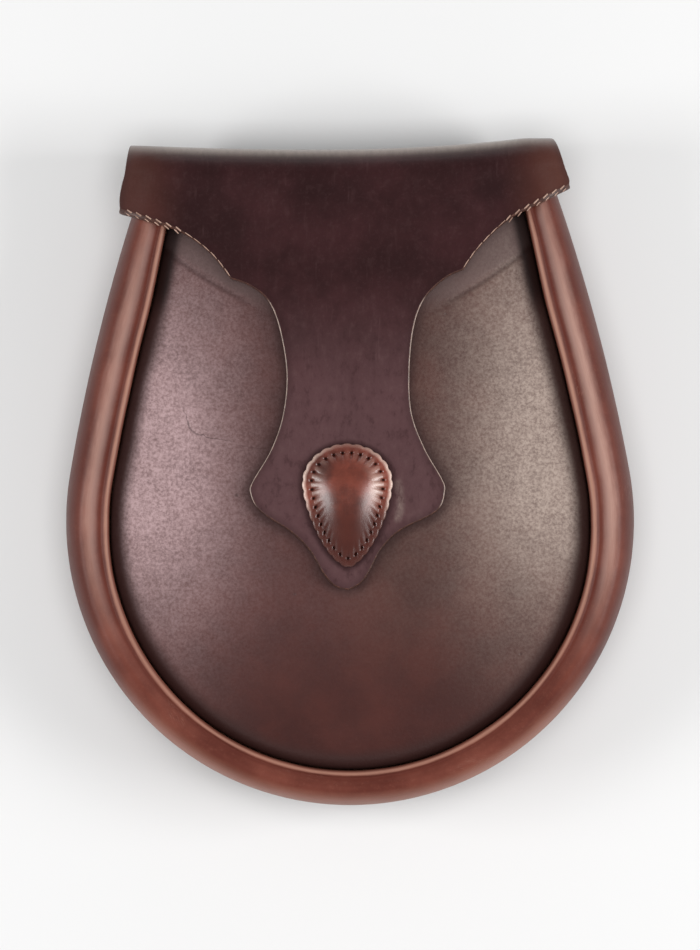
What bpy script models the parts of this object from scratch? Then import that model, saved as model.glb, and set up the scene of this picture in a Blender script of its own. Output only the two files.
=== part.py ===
"""A closed leather day sporran lying on its back, built from the pieces that it is sewn from.

Metres, +Z up. The wearer's side lies on the surface at z = 0, the front faces up, and the fold
of the flap is towards +Y. The origin is the middle of the whole outline, on that surface.
"Rise" is a distance towards +Y from the centre of the round lower half, called the bowl.
"""

import math
from collections import namedtuple

import bmesh
import bpy
from mathutils import Vector

# Outline of the pouch, outside the rolled rim
BOWL_RADIUS = 0.085
MOUTH_HALF_WIDTH = 0.0618
MOUTH_RISE = 0.100
SIDE_START_ANGLE = math.radians(10)

# Gap kept between two pieces that are sewn or pressed together, and where the flap lies over the
# round crest of the rim
SEAM_GAP = 0.0003
SEAT_GAP = 0.0006

# Rolled rim: the gusset, a leather wall with a C section, open towards the inside
RIM_DEPTH = 0.038
RIM_WIDTH_SIDE = 0.0132
RIM_WIDTH_BOTTOM = 0.0106
RIM_WALL = 0.0020
RIM_CREST_SHARE = 0.52
ROLL_SQUARENESS = 2.5
LIP_INNER_RADIUS = 0.0004
LIP_DROP = 0.0006
VALLEY_DROP = 0.0009
FLANGE_TAIL = 0.0030

# Front panel: a moulded dome whose edge turns down beside the rim's flange
PANEL_WALL = 0.0022
PANEL_DROP = 0.0055
PANEL_CROWN = 0.0055
PANEL_MOUTH_FLATTENING = 0.45
SHOULDER_INNER_RADIUS = 0.0016

# Back panel, set in from the back of the rim by the height of the strap loops
BACK_WALL = 0.0026

# Loops on the back for the waist strap
LOOP_WALL = 0.0022
LOOP_WIDTH = 0.020
LOOP_SPACING = 0.060
LOOP_SEWN_END = 0.007
LOOP_RAMP = 0.005
STRAP_PASSAGE_HEIGHT = 0.034
STRAP_PASSAGE_DEPTH = 0.0056
LOOP_TO_LEAF = 0.002

# Flap: one piece from the leaf sewn on the back, over the fold, to the tip of the tongue
FLAP_WALL = 0.0024
FLAP_OVERHANG = 0.0052
FLAP_AXIS_X = -0.0007
FLAP_LENGTH = 0.131
FOLD_CLEARANCE = 0.0085
FOLD_INNER_RADIUS = 0.0066
FOLD_LIFT_LEFT = 0.0019
FOLD_LIFT_RIGHT = 0.0029
LEAF_OVERLAP = 0.022
LEAF_SIDE_CLEARANCE = 0.0012
CURL_DROP = 0.004
CURL_WIDTH = 0.010
LOBE_DROOP = 0.0009

# Where the flap leaves its seat on the rim and lies down on the panel, as shares of the mouth's rise
SEAT_END_SHARE = 0.70
LAY_SHARE = 0.35

# Where the tongue's lobes start to droop, as a share of the teardrop's half width from its middle
LOBE_START = 1.1

# Padded teardrop sewn on the tongue, and the press stud hidden under it
TEARDROP_HALF_WIDTH = 0.0133
TEARDROP_TOP = 0.0117
TEARDROP_POINT = 0.0249
TEARDROP_SHOULDER = 1.5
TEARDROP_TAPER = 0.62
TEARDROP_BORDER = 0.0030
TEARDROP_BORDER_THICKNESS = 0.0016
TEARDROP_EDGE_ROUNDING = 0.0005
TEARDROP_DOME = 0.0042
TEARDROP_PLACE = 0.76
STUD_RADIUS = 0.0055
STUD_HEIGHT = 0.0012

# How finely the round stretches are divided
SIDE_STEPS = 7
BOWL_STEPS = 28
LIP_STEPS = 3
ROLL_STEPS = 5
SHOULDER_STEPS = 3
FOLD_STEPS = 4
EDGE_STEPS = 3
TEARDROP_STEPS = 28
STUD_STEPS = 24

# Places along the front panel from its shoulder, 0, to the spine down the middle, 1
PANEL_SHARES = (0.12, 0.30, 0.52, 0.76, 1.0)

# Columns across the flap, as shares of its half width
FLAP_COLUMNS = (-1, -0.93, -0.85, -0.72, -0.5, -0.25, 0, 0.25, 0.5, 0.72, 0.85, 0.93, 1)

# The flap's cut edge from its corners to the tip of the tongue. Across is a share of the flap's
# half width, and down a share of the flap's length, from the top of the fold.
EdgeRow = namedtuple("EdgeRow", "place left_across left_down right_across right_down")
CUSP = EdgeRow("cusp", 0.510, 0.294, 0.523, 0.278)
HEM_ROWS = (
    EdgeRow("corner", 1.004, 0.143, 1.000, 0.096),
    EdgeRow("hem over the rim", 0.872, 0.162, 0.872, 0.127),
    EdgeRow("hem over the groove", 0.720, 0.190, 0.720, 0.168),
    EdgeRow("hem over the panel", 0.600, 0.236, 0.600, 0.225),
    CUSP,
)
TONGUE_ROWS = (
    CUSP,
    EdgeRow("notch", 0.427, 0.310, 0.443, 0.297),
    EdgeRow("shoulder", 0.345, 0.345, 0.350, 0.343),
    EdgeRow("upper neck", 0.296, 0.409, 0.301, 0.409),
    EdgeRow("neck", 0.267, 0.510, 0.281, 0.510),
    EdgeRow("lower neck", 0.286, 0.605, 0.290, 0.603),
    EdgeRow("flare", 0.340, 0.683, 0.347, 0.683),
    EdgeRow("top of the lobe", 0.420, 0.752, 0.420, 0.750),
    EdgeRow("lobe", 0.433, 0.780, 0.434, 0.780),
    EdgeRow("foot of the lobe", 0.389, 0.822, 0.395, 0.826),
    EdgeRow("upper chin", 0.250, 0.871, 0.235, 0.868),
    EdgeRow("chin", 0.170, 0.913, 0.150, 0.910),
    EdgeRow("lower chin", 0.108, 0.967, 0.090, 0.965),
    EdgeRow("side of the tip", 0.059, 0.994, 0.050, 0.990),
    EdgeRow("tip", 0.000, 1.003, 0.000, 1.003),
)

# The flap's side edge from the front of the fold, 0, down to its corner, 1, as a share of the
# half width at the corner
SideRow = namedtuple("SideRow", "down width")
SIDE_ROWS = (SideRow(0.0, 0.985), SideRow(0.35, 0.997), SideRow(0.70, 1.003))

# Where the top of the fold reaches its full lift, as shares of the flap's half width
LIFT_REACH_LEFT = 0.95
LIFT_REACH_RIGHT = 0.80

# Half width at the top of the fold, as a share of the way from the front half width to the leaf's
FOLD_TAPER_FRONT_LEFT = 0.105
FOLD_TAPER_FRONT_RIGHT = 0.22
FOLD_TAPER_BACK = 0.66

# The teardrop's dome above its border: height as a share of the dome, and distance inward as a
# share of the way from the border to the middle
DomeRow = namedtuple("DomeRow", "height inward")
DOME_ROWS = (DomeRow(0.55, 0.25), DomeRow(0.85, 0.55), DomeRow(0.98, 0.85))

# Points closer than this are one point, and edges sharper than this are not shaded smooth
MERGE_DISTANCE = 1e-6
SHARP_ANGLE = math.radians(40)

# Sizes and places that follow from those above
LIP_RADIUS = RIM_WALL + LIP_INNER_RADIUS
SHOULDER_RADIUS = PANEL_WALL + SHOULDER_INNER_RADIUS
FOLD_RADIUS = FLAP_WALL + FOLD_INNER_RADIUS
FLAP_HALF_WIDTH = MOUTH_HALF_WIDTH + FLAP_OVERHANG
FOLD_RISE = MOUTH_RISE + FOLD_CLEARANCE + FLAP_WALL
BOWL_Y = -(FOLD_RISE + FOLD_LIFT_RIGHT - BOWL_RADIUS) / 2
BACK_FACE_Z = LOOP_WALL + STRAP_PASSAGE_DEPTH
PANEL_EDGE_Z = RIM_DEPTH - PANEL_DROP
GROOVE_Z = PANEL_EDGE_Z - SHOULDER_RADIUS
PANEL_CROWN_Z = PANEL_EDGE_Z + PANEL_CROWN
SEAT_FACE_Z = RIM_DEPTH + SEAT_GAP + FLAP_WALL
TONGUE_FACE_Z = PANEL_CROWN_Z + 2 * SEAM_GAP + STUD_HEIGHT + FLAP_WALL
LEAF_FACE_Z = BACK_FACE_Z - SEAM_GAP - FLAP_WALL
LEAF_END_RISE = MOUTH_RISE - LEAF_OVERLAP
FOLD_START_WIDTH = SIDE_ROWS[0].width
TEARDROP_RISE = FOLD_RISE - TEARDROP_PLACE * FLAP_LENGTH

Station = namedtuple("Station", "edge inward stretch reach rim_width mouth_share")


def smooth_step(value):
    """Eased share from 0 to 1."""
    value = min(1.0, max(0.0, value))
    return value * value * (3 - 2 * value)


def direction(angle):
    """Unit vector at an angle from +X, in the plane of the outline."""
    return Vector((math.cos(angle), math.sin(angle)))


def station_at(edge, normal, spine, rim_width, mouth_share):
    """Station from a point of the outline, its outward normal and its point on the spine."""
    across = spine - edge
    inward = across.normalized()
    return Station(edge, inward, -1 / inward.dot(normal), across.length, rim_width, mouth_share)


def side_arc():
    """Centre and radius of the right side's long arc, which leaves the bowl without a corner."""
    start = direction(SIDE_START_ANGLE)
    chord = Vector((MOUTH_HALF_WIDTH, MOUTH_RISE)) - start * BOWL_RADIUS
    radius = -chord.length_squared / (2 * chord.dot(start))
    return start * (BOWL_RADIUS - radius), radius


def outline_half_width(rise):
    """Half width of the pouch on the long side arcs, carried on above the mouth."""
    centre, radius = side_arc()
    return centre.x + math.copysign(math.sqrt(radius**2 - (rise - centre.y) ** 2), radius)


def side_station(share, side):
    """Station on a long side arc, from the bowl, 0, up to the mouth, 1. Side is -1 for left."""
    centre, radius = side_arc()
    last_angle = math.asin((MOUTH_RISE - centre.y) / radius)
    angle = SIDE_START_ANGLE + share * (last_angle - SIDE_START_ANGLE)
    normal = direction(angle)
    edge = centre + radius * normal
    edge.x *= side
    normal.x *= side
    return station_at(edge, normal, Vector((0, share * MOUTH_RISE)), RIM_WIDTH_SIDE, share)


def bowl_station(angle):
    """Station on the round lower half, where the rim narrows towards the bottom."""
    normal = direction(angle)
    low = max(0.0, -normal.y)
    width = RIM_WIDTH_SIDE + (RIM_WIDTH_BOTTOM - RIM_WIDTH_SIDE) * low
    return station_at(normal * BOWL_RADIUS, normal, Vector((0, 0)), width, 0.0)


def outline_stations():
    """Stations from the left end of the mouth, round the bowl, to the right end."""
    left = [side_station(1 - i / SIDE_STEPS, -1) for i in range(SIDE_STEPS)]
    first = math.pi - SIDE_START_ANGLE
    sweep = math.pi + 2 * SIDE_START_ANGLE
    bowl = [bowl_station(first + sweep * i / BOWL_STEPS) for i in range(BOWL_STEPS + 1)]
    right = [side_station(i / SIDE_STEPS, 1) for i in range(1, SIDE_STEPS + 1)]
    return left + bowl + right


def place(station, depth, z):
    """Point at a depth inward of the outer outline, measured square to it, at a height."""
    point = station.edge + station.inward * depth * station.stretch
    return Vector((point.x, point.y + BOWL_Y, z))


def material(name, colour, roughness):
    """Leather or metal finish as a Principled material."""
    made = bpy.data.materials.new(name)
    made.use_nodes = True
    shader = made.node_tree.nodes["Principled BSDF"]
    shader.inputs["Base Color"].default_value = (*colour, 1)
    shader.inputs["Roughness"].default_value = roughness
    shader.inputs["Metallic"].default_value = 1.0 if name == "stud_metal" else 0.0
    return made


def add_object(name, mesh_maker, finish):
    """Object with the mesh that a filled bmesh gives, shaded smooth between its sharp edges."""
    mesh = bpy.data.meshes.new(name)
    mesh_maker.to_mesh(mesh)
    mesh_maker.free()
    mesh.materials.append(finish)
    mesh.shade_smooth()
    mesh.set_sharp_from_angle(angle=SHARP_ANGLE)
    obj = bpy.data.objects.new(name, mesh)
    bpy.context.scene.collection.objects.link(obj)
    return obj


def leather_sheet(name, rows, wall, finish):
    """Leather wall from a grid of points on its outer face, thickened inwards.

    The rows run so that row direction x column direction points out of the leather.
    """
    maker = bmesh.new()
    grid = [[maker.verts.new(point) for point in row] for row in rows]
    for near, far in zip(grid, grid[1:]):
        for i in range(len(near) - 1):
            maker.faces.new((near[i], far[i], far[i + 1], near[i + 1]))
    bmesh.ops.remove_doubles(maker, verts=maker.verts, dist=MERGE_DISTANCE)
    obj = add_object(name, maker, finish)
    solidify = obj.modifiers.new("wall", "SOLIDIFY")
    solidify.thickness = wall
    solidify.offset = -1
    solidify.use_even_offset = True
    return obj


def stacked_solid(name, rings, finish):
    """Solid through closed rings of points, from the lowest to the highest, with both ends filled."""
    maker = bmesh.new()
    loops = [[maker.verts.new(point) for point in ring] for ring in rings]
    for low, high in zip(loops, loops[1:]):
        for i in range(len(low)):
            after = (i + 1) % len(low)
            maker.faces.new((low[i], low[after], high[after], high[i]))
    maker.faces.new(reversed(loops[0]))
    maker.faces.new(loops[-1])
    return add_object(name, maker, finish)


def quarter_arc(centre, radius, first_angle, steps):
    """Points a quarter turn clockwise from an angle, in the plane of depth and height."""
    points = []
    for i in range(steps + 1):
        angle = first_angle - math.pi / 2 * i / steps
        points.append((centre[0] + radius * math.cos(angle), centre[1] + radius * math.sin(angle)))
    return points


def rim_profile(width):
    """Outer face of the rim's C section from its back flange round to the front: (depth, height)."""
    middle = RIM_DEPTH / 2
    crest = RIM_CREST_SHARE * width
    lip_centre = width - LIP_RADIUS
    front_lip_z = RIM_DEPTH - LIP_DROP
    back_lip = quarter_arc((lip_centre, LIP_RADIUS), LIP_RADIUS, 0, LIP_STEPS)
    front_lip = quarter_arc((lip_centre, front_lip_z - LIP_RADIUS), LIP_RADIUS, math.pi / 2, LIP_STEPS)
    roll = []
    for i in range(-ROLL_STEPS, ROLL_STEPS + 1):
        turn = math.pi / 2 * i / ROLL_STEPS
        out = abs(math.cos(turn)) ** (2 / ROLL_SQUARENESS)
        up = math.copysign(abs(math.sin(turn)) ** (2 / ROLL_SQUARENESS), turn)
        roll.append((crest * (1 - out), middle + middle * up))
    valley = ((crest + lip_centre) / 2, RIM_DEPTH - VALLEY_DROP)
    back_tail = (width, BACK_FACE_Z + BACK_WALL + FLANGE_TAIL)
    front_tail = (width, GROOVE_Z - FLANGE_TAIL)
    return [back_tail, *back_lip, *roll, valley, *front_lip, front_tail]


def build_gusset(finish):
    """Rolled rim round the sides and the bottom, flat where it rests on its back."""
    rows = []
    for station in outline_stations():
        rows.append([place(station, depth, z) for depth, z in rim_profile(station.rim_width)])
    return leather_sheet("gusset", rows, RIM_WALL, finish)


def panel_row(station):
    """Outer face of the front panel from its turned-down edge to the spine, at one station."""
    edge = station.rim_width + SEAM_GAP
    row = [place(station, edge, GROOVE_Z - FLANGE_TAIL)]
    shoulder_foot = (edge + SHOULDER_RADIUS, GROOVE_Z)
    for depth, z in quarter_arc(shoulder_foot, SHOULDER_RADIUS, math.pi, SHOULDER_STEPS):
        row.append(place(station, depth, z))
    first = edge + SHOULDER_RADIUS
    last = station.reach / station.stretch
    crown = PANEL_CROWN * (1 - PANEL_MOUTH_FLATTENING * station.mouth_share**2)
    for share in PANEL_SHARES:
        z = PANEL_EDGE_Z + crown * (1 - (1 - share) ** 2)
        row.append(place(station, first + share * (last - first), z))
    return row


def build_front_panel(finish):
    """Moulded front panel, domed and sunk into the rim."""
    rows = [panel_row(station) for station in outline_stations()]
    return leather_sheet("front_panel", rows, PANEL_WALL, finish)


def build_back_panel(finish):
    """Flat back panel between the flanges of the rim."""
    stations = outline_stations()
    levels = (BACK_FACE_Z, BACK_FACE_Z + BACK_WALL)
    rings = [[place(s, s.rim_width + SEAM_GAP, z) for s in stations] for z in levels]
    return stacked_solid("back_panel", rings, finish)


def build_strap_loop(name, centre_x, finish):
    """Leather loop on the back: sewn flat at both ends, raised between them for the strap."""
    sewn_z = BACK_FACE_Z - SEAM_GAP - LOOP_WALL
    top = LEAF_END_RISE - LOOP_TO_LEAF
    passage_top = top - LOOP_SEWN_END - LOOP_RAMP
    passage_foot = passage_top - STRAP_PASSAGE_HEIGHT
    bends = (
        (passage_foot - LOOP_RAMP - LOOP_SEWN_END, sewn_z),
        (passage_foot - LOOP_RAMP, sewn_z),
        (passage_foot, 0),
        (passage_top, 0),
        (passage_top + LOOP_RAMP, sewn_z),
        (top, sewn_z),
    )
    sides = (centre_x - LOOP_WIDTH / 2, centre_x + LOOP_WIDTH / 2)
    rows = [[Vector((x, rise + BOWL_Y, z)) for x in sides] for rise, z in bends]
    return leather_sheet(name, rows, LOOP_WALL, finish)


# The leaf on the back lies between the ends of the rim
LEAF_HALF_WIDTH = MOUTH_HALF_WIDTH - RIM_WIDTH_SIDE * side_station(1, 1).stretch - LEAF_SIDE_CLEARANCE


def flap_face_z(x, rise):
    """Height of the flap's outer face over the front: seated on the rim, then down on the panel."""
    across = abs(x - FLAP_AXIS_X)
    half_width = outline_half_width(max(0.0, rise))
    to_shoulder = half_width - RIM_WIDTH_SIDE - SEAM_GAP - SHOULDER_RADIUS
    fall = PANEL_CROWN * (across**2 + min(0.0, rise) ** 2) / to_shoulder**2
    lobe = smooth_step((across - LOBE_START * TEARDROP_HALF_WIDTH) / TEARDROP_HALF_WIDTH)
    on_panel = TONGUE_FACE_Z - fall - LOBE_DROOP * lobe
    lay = smooth_step((SEAT_END_SHARE * MOUTH_RISE - rise) / (LAY_SHARE * MOUTH_RISE))
    crest = outline_half_width(rise) - RIM_CREST_SHARE * RIM_WIDTH_SIDE
    curled = max(0.0, abs(x) - crest) / CURL_WIDTH
    return SEAT_FACE_Z + (on_panel - SEAT_FACE_Z) * lay - CURL_DROP * curled**2


def fold_top_rise(x):
    """Rise of the top of the fold, which is saddle-shaped and higher at the right."""
    share = (x - FLAP_AXIS_X) / FLAP_HALF_WIDTH
    lift = FOLD_LIFT_RIGHT if share > 0 else FOLD_LIFT_LEFT
    reach = LIFT_REACH_RIGHT if share > 0 else LIFT_REACH_LEFT
    return FOLD_RISE + lift * min(1.0, abs(share) / reach) ** 2


def folded_x(column, taper):
    """Place across the fold of a column. Taper runs from 0 at the front to 1 at the leaf."""
    front = FLAP_AXIS_X + column * FOLD_START_WIDTH * FLAP_HALF_WIDTH
    return front + taper * (column * LEAF_HALF_WIDTH - front)


def leaf_row(rise):
    """Row of the leaf sewn on the back."""
    return [Vector((folded_x(column, 1), rise + BOWL_Y, LEAF_FACE_Z)) for column in FLAP_COLUMNS]


def fold_point(x, turn, z):
    """Point over the fold at a height. Turn runs from 0 at the front to pi at the leaf."""
    rise = fold_top_rise(x) - FOLD_RADIUS * (1 - math.sin(turn))
    return Vector((x, rise + BOWL_Y, z))


def back_fold_row(share):
    """Row over the back quarter of the fold, from the leaf, 0, to the flat top, 1."""
    turn = math.pi * (1 - share / 2)
    taper = 1 - share * (1 - FOLD_TAPER_BACK)
    z = LEAF_FACE_Z + FOLD_RADIUS * (1 + math.cos(turn))
    return [fold_point(folded_x(column, taper), turn, z) for column in FLAP_COLUMNS]


def front_fold_row(share):
    """Row over the front quarter of the fold, from the flat top, 0, to the front, 1."""
    turn = math.pi / 2 * (1 - share)
    row = []
    for column in FLAP_COLUMNS:
        top_taper = FOLD_TAPER_FRONT_LEFT if column < 0 else FOLD_TAPER_FRONT_RIGHT
        x = folded_x(column, top_taper * (1 - share))
        start_z = flap_face_z(x, fold_top_rise(x) - FOLD_RADIUS)
        row.append(fold_point(x, turn, start_z - FOLD_RADIUS * (1 - math.cos(turn))))
    return row


def fold_rows():
    """Rows over the fold from the leaf to the front: a quarter turn, the flat top, a quarter turn."""
    shares = [i / FOLD_STEPS for i in range(FOLD_STEPS + 1)]
    return [back_fold_row(share) for share in shares] + [front_fold_row(share) for share in shares]


def front_row(left_across, left_rise, right_across, right_rise):
    """Row across the front of the flap, between a point of its left and of its right edge."""
    row = []
    for column in FLAP_COLUMNS:
        across = -left_across if column < 0 else right_across
        x = FLAP_AXIS_X + abs(column) * across * FLAP_HALF_WIDTH
        rise = left_rise + (right_rise - left_rise) * (column + 1) / 2
        row.append(Vector((x, rise + BOWL_Y, flap_face_z(x, rise))))
    return row


def side_edge_rows():
    """Rows between the fold and the corners of the flap."""
    corner = HEM_ROWS[0]
    tops = [fold_top_rise(folded_x(side, 0)) - FOLD_RADIUS for side in (-1, 1)]
    corners = [FOLD_RISE - down * FLAP_LENGTH for down in (corner.left_down, corner.right_down)]
    rows = []
    for row in SIDE_ROWS[1:]:
        left, right = (top + row.down * (low - top) for top, low in zip(tops, corners))
        rows.append(front_row(row.width * corner.left_across, left, row.width * corner.right_across, right))
    return rows


def eased_through(rows):
    """Rows of numbers on a smooth curve through the given rows, and the rows themselves."""
    made = []
    for i in range(len(rows) - 1):
        a, b = rows[max(i - 1, 0)], rows[i]
        c, d = rows[i + 1], rows[min(i + 2, len(rows) - 1)]
        for step in range(EDGE_STEPS):
            t = step / EDGE_STEPS
            weights = (
                -0.5 * t + t * t - 0.5 * t**3,
                1 - 2.5 * t * t + 1.5 * t**3,
                0.5 * t + 2 * t * t - 1.5 * t**3,
                -0.5 * t * t + 0.5 * t**3,
            )
            made.append([sum(w * v for w, v in zip(weights, four)) for four in zip(a, b, c, d)])
    return made


def cut_edge_rows():
    """Rows from the corners to the tip, sharp only at the two cusps."""
    rows = []
    for stretch in (HEM_ROWS, TONGUE_ROWS):
        rows += eased_through([row[1:] for row in stretch])
    rows.append(TONGUE_ROWS[-1][1:])
    made = []
    for left_across, left_down, right_across, right_down in rows:
        left_rise = FOLD_RISE - left_down * FLAP_LENGTH
        right_rise = FOLD_RISE - right_down * FLAP_LENGTH
        made.append(front_row(left_across, left_rise, right_across, right_rise))
    return made


def build_flap(finish):
    """Flap with its leaf, fold, side corners and tongue, in one piece of leather."""
    leaf = [leaf_row(LEAF_END_RISE), leaf_row((LEAF_END_RISE + MOUTH_RISE) / 2)]
    rows = leaf + fold_rows() + side_edge_rows() + cut_edge_rows()
    return leather_sheet("flap", rows, FLAP_WALL, finish)


def teardrop_outline(inset, z):
    """Ring of the teardrop's outline, drawn in by an inset, at a height."""
    ring = []
    for i in range(TEARDROP_STEPS):
        angle = 2 * math.pi * i / TEARDROP_STEPS
        x = TEARDROP_HALF_WIDTH * math.cos(angle)
        y = TEARDROP_TOP * math.sin(angle)
        if y < 0:
            down = abs(math.sin(angle))
            y = -TEARDROP_POINT * down
            width = (1 - down**TEARDROP_SHOULDER) ** TEARDROP_TAPER
            x = math.copysign(TEARDROP_HALF_WIDTH * width, x)
        point = Vector((x, y))
        point *= 1 - inset / point.length
        ring.append(Vector((point.x + FLAP_AXIS_X, point.y + TEARDROP_RISE + BOWL_Y, z)))
    return ring


def build_teardrop(finish):
    """Padded teardrop: a flat sewn border round a dome."""
    foot = TONGUE_FACE_Z + SEAM_GAP
    border = foot + TEARDROP_BORDER_THICKNESS
    narrowest = min(TEARDROP_HALF_WIDTH, TEARDROP_TOP)
    rings = [
        teardrop_outline(0, foot),
        teardrop_outline(0, border - TEARDROP_EDGE_ROUNDING),
        teardrop_outline(TEARDROP_EDGE_ROUNDING, border),
        teardrop_outline(TEARDROP_BORDER, border),
    ]
    for row in DOME_ROWS:
        inset = TEARDROP_BORDER + row.inward * (narrowest - TEARDROP_BORDER)
        rings.append(teardrop_outline(inset, border + row.height * TEARDROP_DOME))
    return stacked_solid("teardrop", rings, finish)


def build_press_stud(finish):
    """Plain press stud between the tongue and the front panel."""
    foot = PANEL_CROWN_Z + SEAM_GAP
    rings = []
    for z in (foot, foot + STUD_HEIGHT):
        ring = []
        for i in range(STUD_STEPS):
            spot = direction(2 * math.pi * i / STUD_STEPS) * STUD_RADIUS
            ring.append(Vector((spot.x + FLAP_AXIS_X, spot.y + TEARDROP_RISE + BOWL_Y, z)))
        rings.append(ring)
    return stacked_solid("press_stud", rings, finish)


def main():
    """Clears the scene and builds the sporran."""
    for obj in list(bpy.data.objects):
        bpy.data.objects.remove(obj)
    rim_leather = material("rim_leather", (0.20, 0.075, 0.055), 0.42)
    panel_leather = material("panel_leather", (0.13, 0.060, 0.050), 0.48)
    flap_leather = material("flap_leather", (0.055, 0.026, 0.023), 0.50)
    back_leather = material("back_leather", (0.10, 0.045, 0.035), 0.60)
    teardrop_leather = material("teardrop_leather", (0.22, 0.065, 0.035), 0.32)
    stud_metal = material("stud_metal", (0.55, 0.50, 0.42), 0.35)
    build_gusset(rim_leather)
    build_front_panel(panel_leather)
    build_back_panel(back_leather)
    build_strap_loop("strap_loop_left", -LOOP_SPACING / 2, back_leather)
    build_strap_loop("strap_loop_right", LOOP_SPACING / 2, back_leather)
    build_flap(flap_leather)
    build_teardrop(teardrop_leather)
    build_press_stud(stud_metal)


main()
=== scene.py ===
"""Dresses a closed leather day sporran, lying on its back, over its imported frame.

Metres, +Z up. The wearer's side lies on the floor, the front faces up, and the fold of the flap
is towards +Y. "Rise" is a distance towards +Y from the centre of the round lower half, called the
bowl. "Depth" is a distance inward of the outer outline, measured square to it.
"""

import logging
import math
from collections.abc import Iterable, Mapping
from dataclasses import dataclass, field
from enum import Enum
from typing import Any

import bmesh
import bpy
import numpy as np
from mathutils import Matrix, Vector


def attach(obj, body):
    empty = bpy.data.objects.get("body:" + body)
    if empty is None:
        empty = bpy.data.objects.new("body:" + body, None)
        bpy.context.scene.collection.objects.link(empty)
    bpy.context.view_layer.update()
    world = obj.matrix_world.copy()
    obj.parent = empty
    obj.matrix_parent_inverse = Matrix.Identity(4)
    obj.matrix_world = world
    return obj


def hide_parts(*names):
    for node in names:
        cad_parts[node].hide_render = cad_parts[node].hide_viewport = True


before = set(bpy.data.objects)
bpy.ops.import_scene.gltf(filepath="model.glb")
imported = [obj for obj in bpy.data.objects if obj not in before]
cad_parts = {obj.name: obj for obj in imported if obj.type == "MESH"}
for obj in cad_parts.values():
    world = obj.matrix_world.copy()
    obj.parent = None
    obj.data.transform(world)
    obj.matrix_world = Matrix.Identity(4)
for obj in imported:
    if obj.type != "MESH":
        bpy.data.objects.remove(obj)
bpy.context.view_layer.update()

log = logging.getLogger("sporran")

Floats = np.ndarray
Colour = tuple[float, float, float, float]
Places = tuple[tuple[float, float], ...]
MM = 0.001


def tint(red: int, green: int, blue: int) -> Colour:
    """Linear colour of a screen colour given in steps from 0 to 255."""
    parts = [value / 255 for value in (red, green, blue)]
    return (*(p / 12.92 if p <= 0.04045 else ((p + 0.055) / 1.055) ** 2.4 for p in parts), 1.0)


def smooth_step(value: Floats) -> Floats:
    """Eased share from 0 to 1."""
    value = np.clip(value, 0, 1)
    return value * value * (3 - 2 * value)


def bell(distance: Floats, width: float) -> Floats:
    """Bump of height 1 at distance 0, which fades out over a width."""
    return np.exp(-((distance / width) ** 2))


@dataclass(frozen=True)
class Ramp:
    """Eased rise from 0 to 1 that starts at a value. With a negative length it rises below it."""

    start: float
    length: float

    def at(self, value: Floats) -> Floats:
        """Share at some values."""
        return smooth_step((value - self.start) / self.length)


class Grade(Enum):
    """How strongly a face of leather shows its grain."""

    FINE = 0.6
    PEBBLED = 1.0


class Face(Enum):
    """Sides of a cut of leather, in the order of its material slots."""

    GRAIN = 0
    CUT_EDGE = 1
    FLESH = 2


class Signal:
    """Output of a shader node. Expressions on it add the Math nodes that work them out."""

    def __init__(self, graph: "Graph", socket: bpy.types.NodeSocket) -> None:
        """Wraps a socket of a graph."""
        self.graph = graph
        self.socket = socket

    def _math(self, operation: str, *terms: "Signal | float") -> "Signal":
        """Math node on some terms."""
        return self.graph.node("ShaderNodeMath", {"operation": operation}, dict(enumerate(terms)))

    def __add__(self, other: "Signal | float") -> "Signal":
        """Sum."""
        return self._math("ADD", self, other)

    def __radd__(self, other: float) -> "Signal":
        """Sum with a number first."""
        return self._math("ADD", other, self)

    def __sub__(self, other: "Signal | float") -> "Signal":
        """Difference."""
        return self._math("SUBTRACT", self, other)

    def __rsub__(self, other: float) -> "Signal":
        """Difference from a number."""
        return self._math("SUBTRACT", other, self)

    def __mul__(self, other: "Signal | float") -> "Signal":
        """Product."""
        return self._math("MULTIPLY", self, other)

    def __rmul__(self, other: float) -> "Signal":
        """Product with a number first."""
        return self._math("MULTIPLY", other, self)

    def __abs__(self) -> "Signal":
        """Distance from zero."""
        return self._math("ABSOLUTE", self)

    def eased(self, low: float, high: float) -> "Signal":
        """Eased share of the way from low to high, held at 0 and 1 outside."""
        settings = {"interpolation_type": "SMOOTHSTEP"}
        return self.graph.node("ShaderNodeMapRange", settings, {0: self, 1: low, 2: high, 3: 0.0, 4: 1.0})

    def near(self, middle: float, width: float) -> "Signal":
        """1 at a middle value, fading to 0 at a width to either side."""
        return 1 - abs(self - middle).eased(0.0, width)


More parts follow.
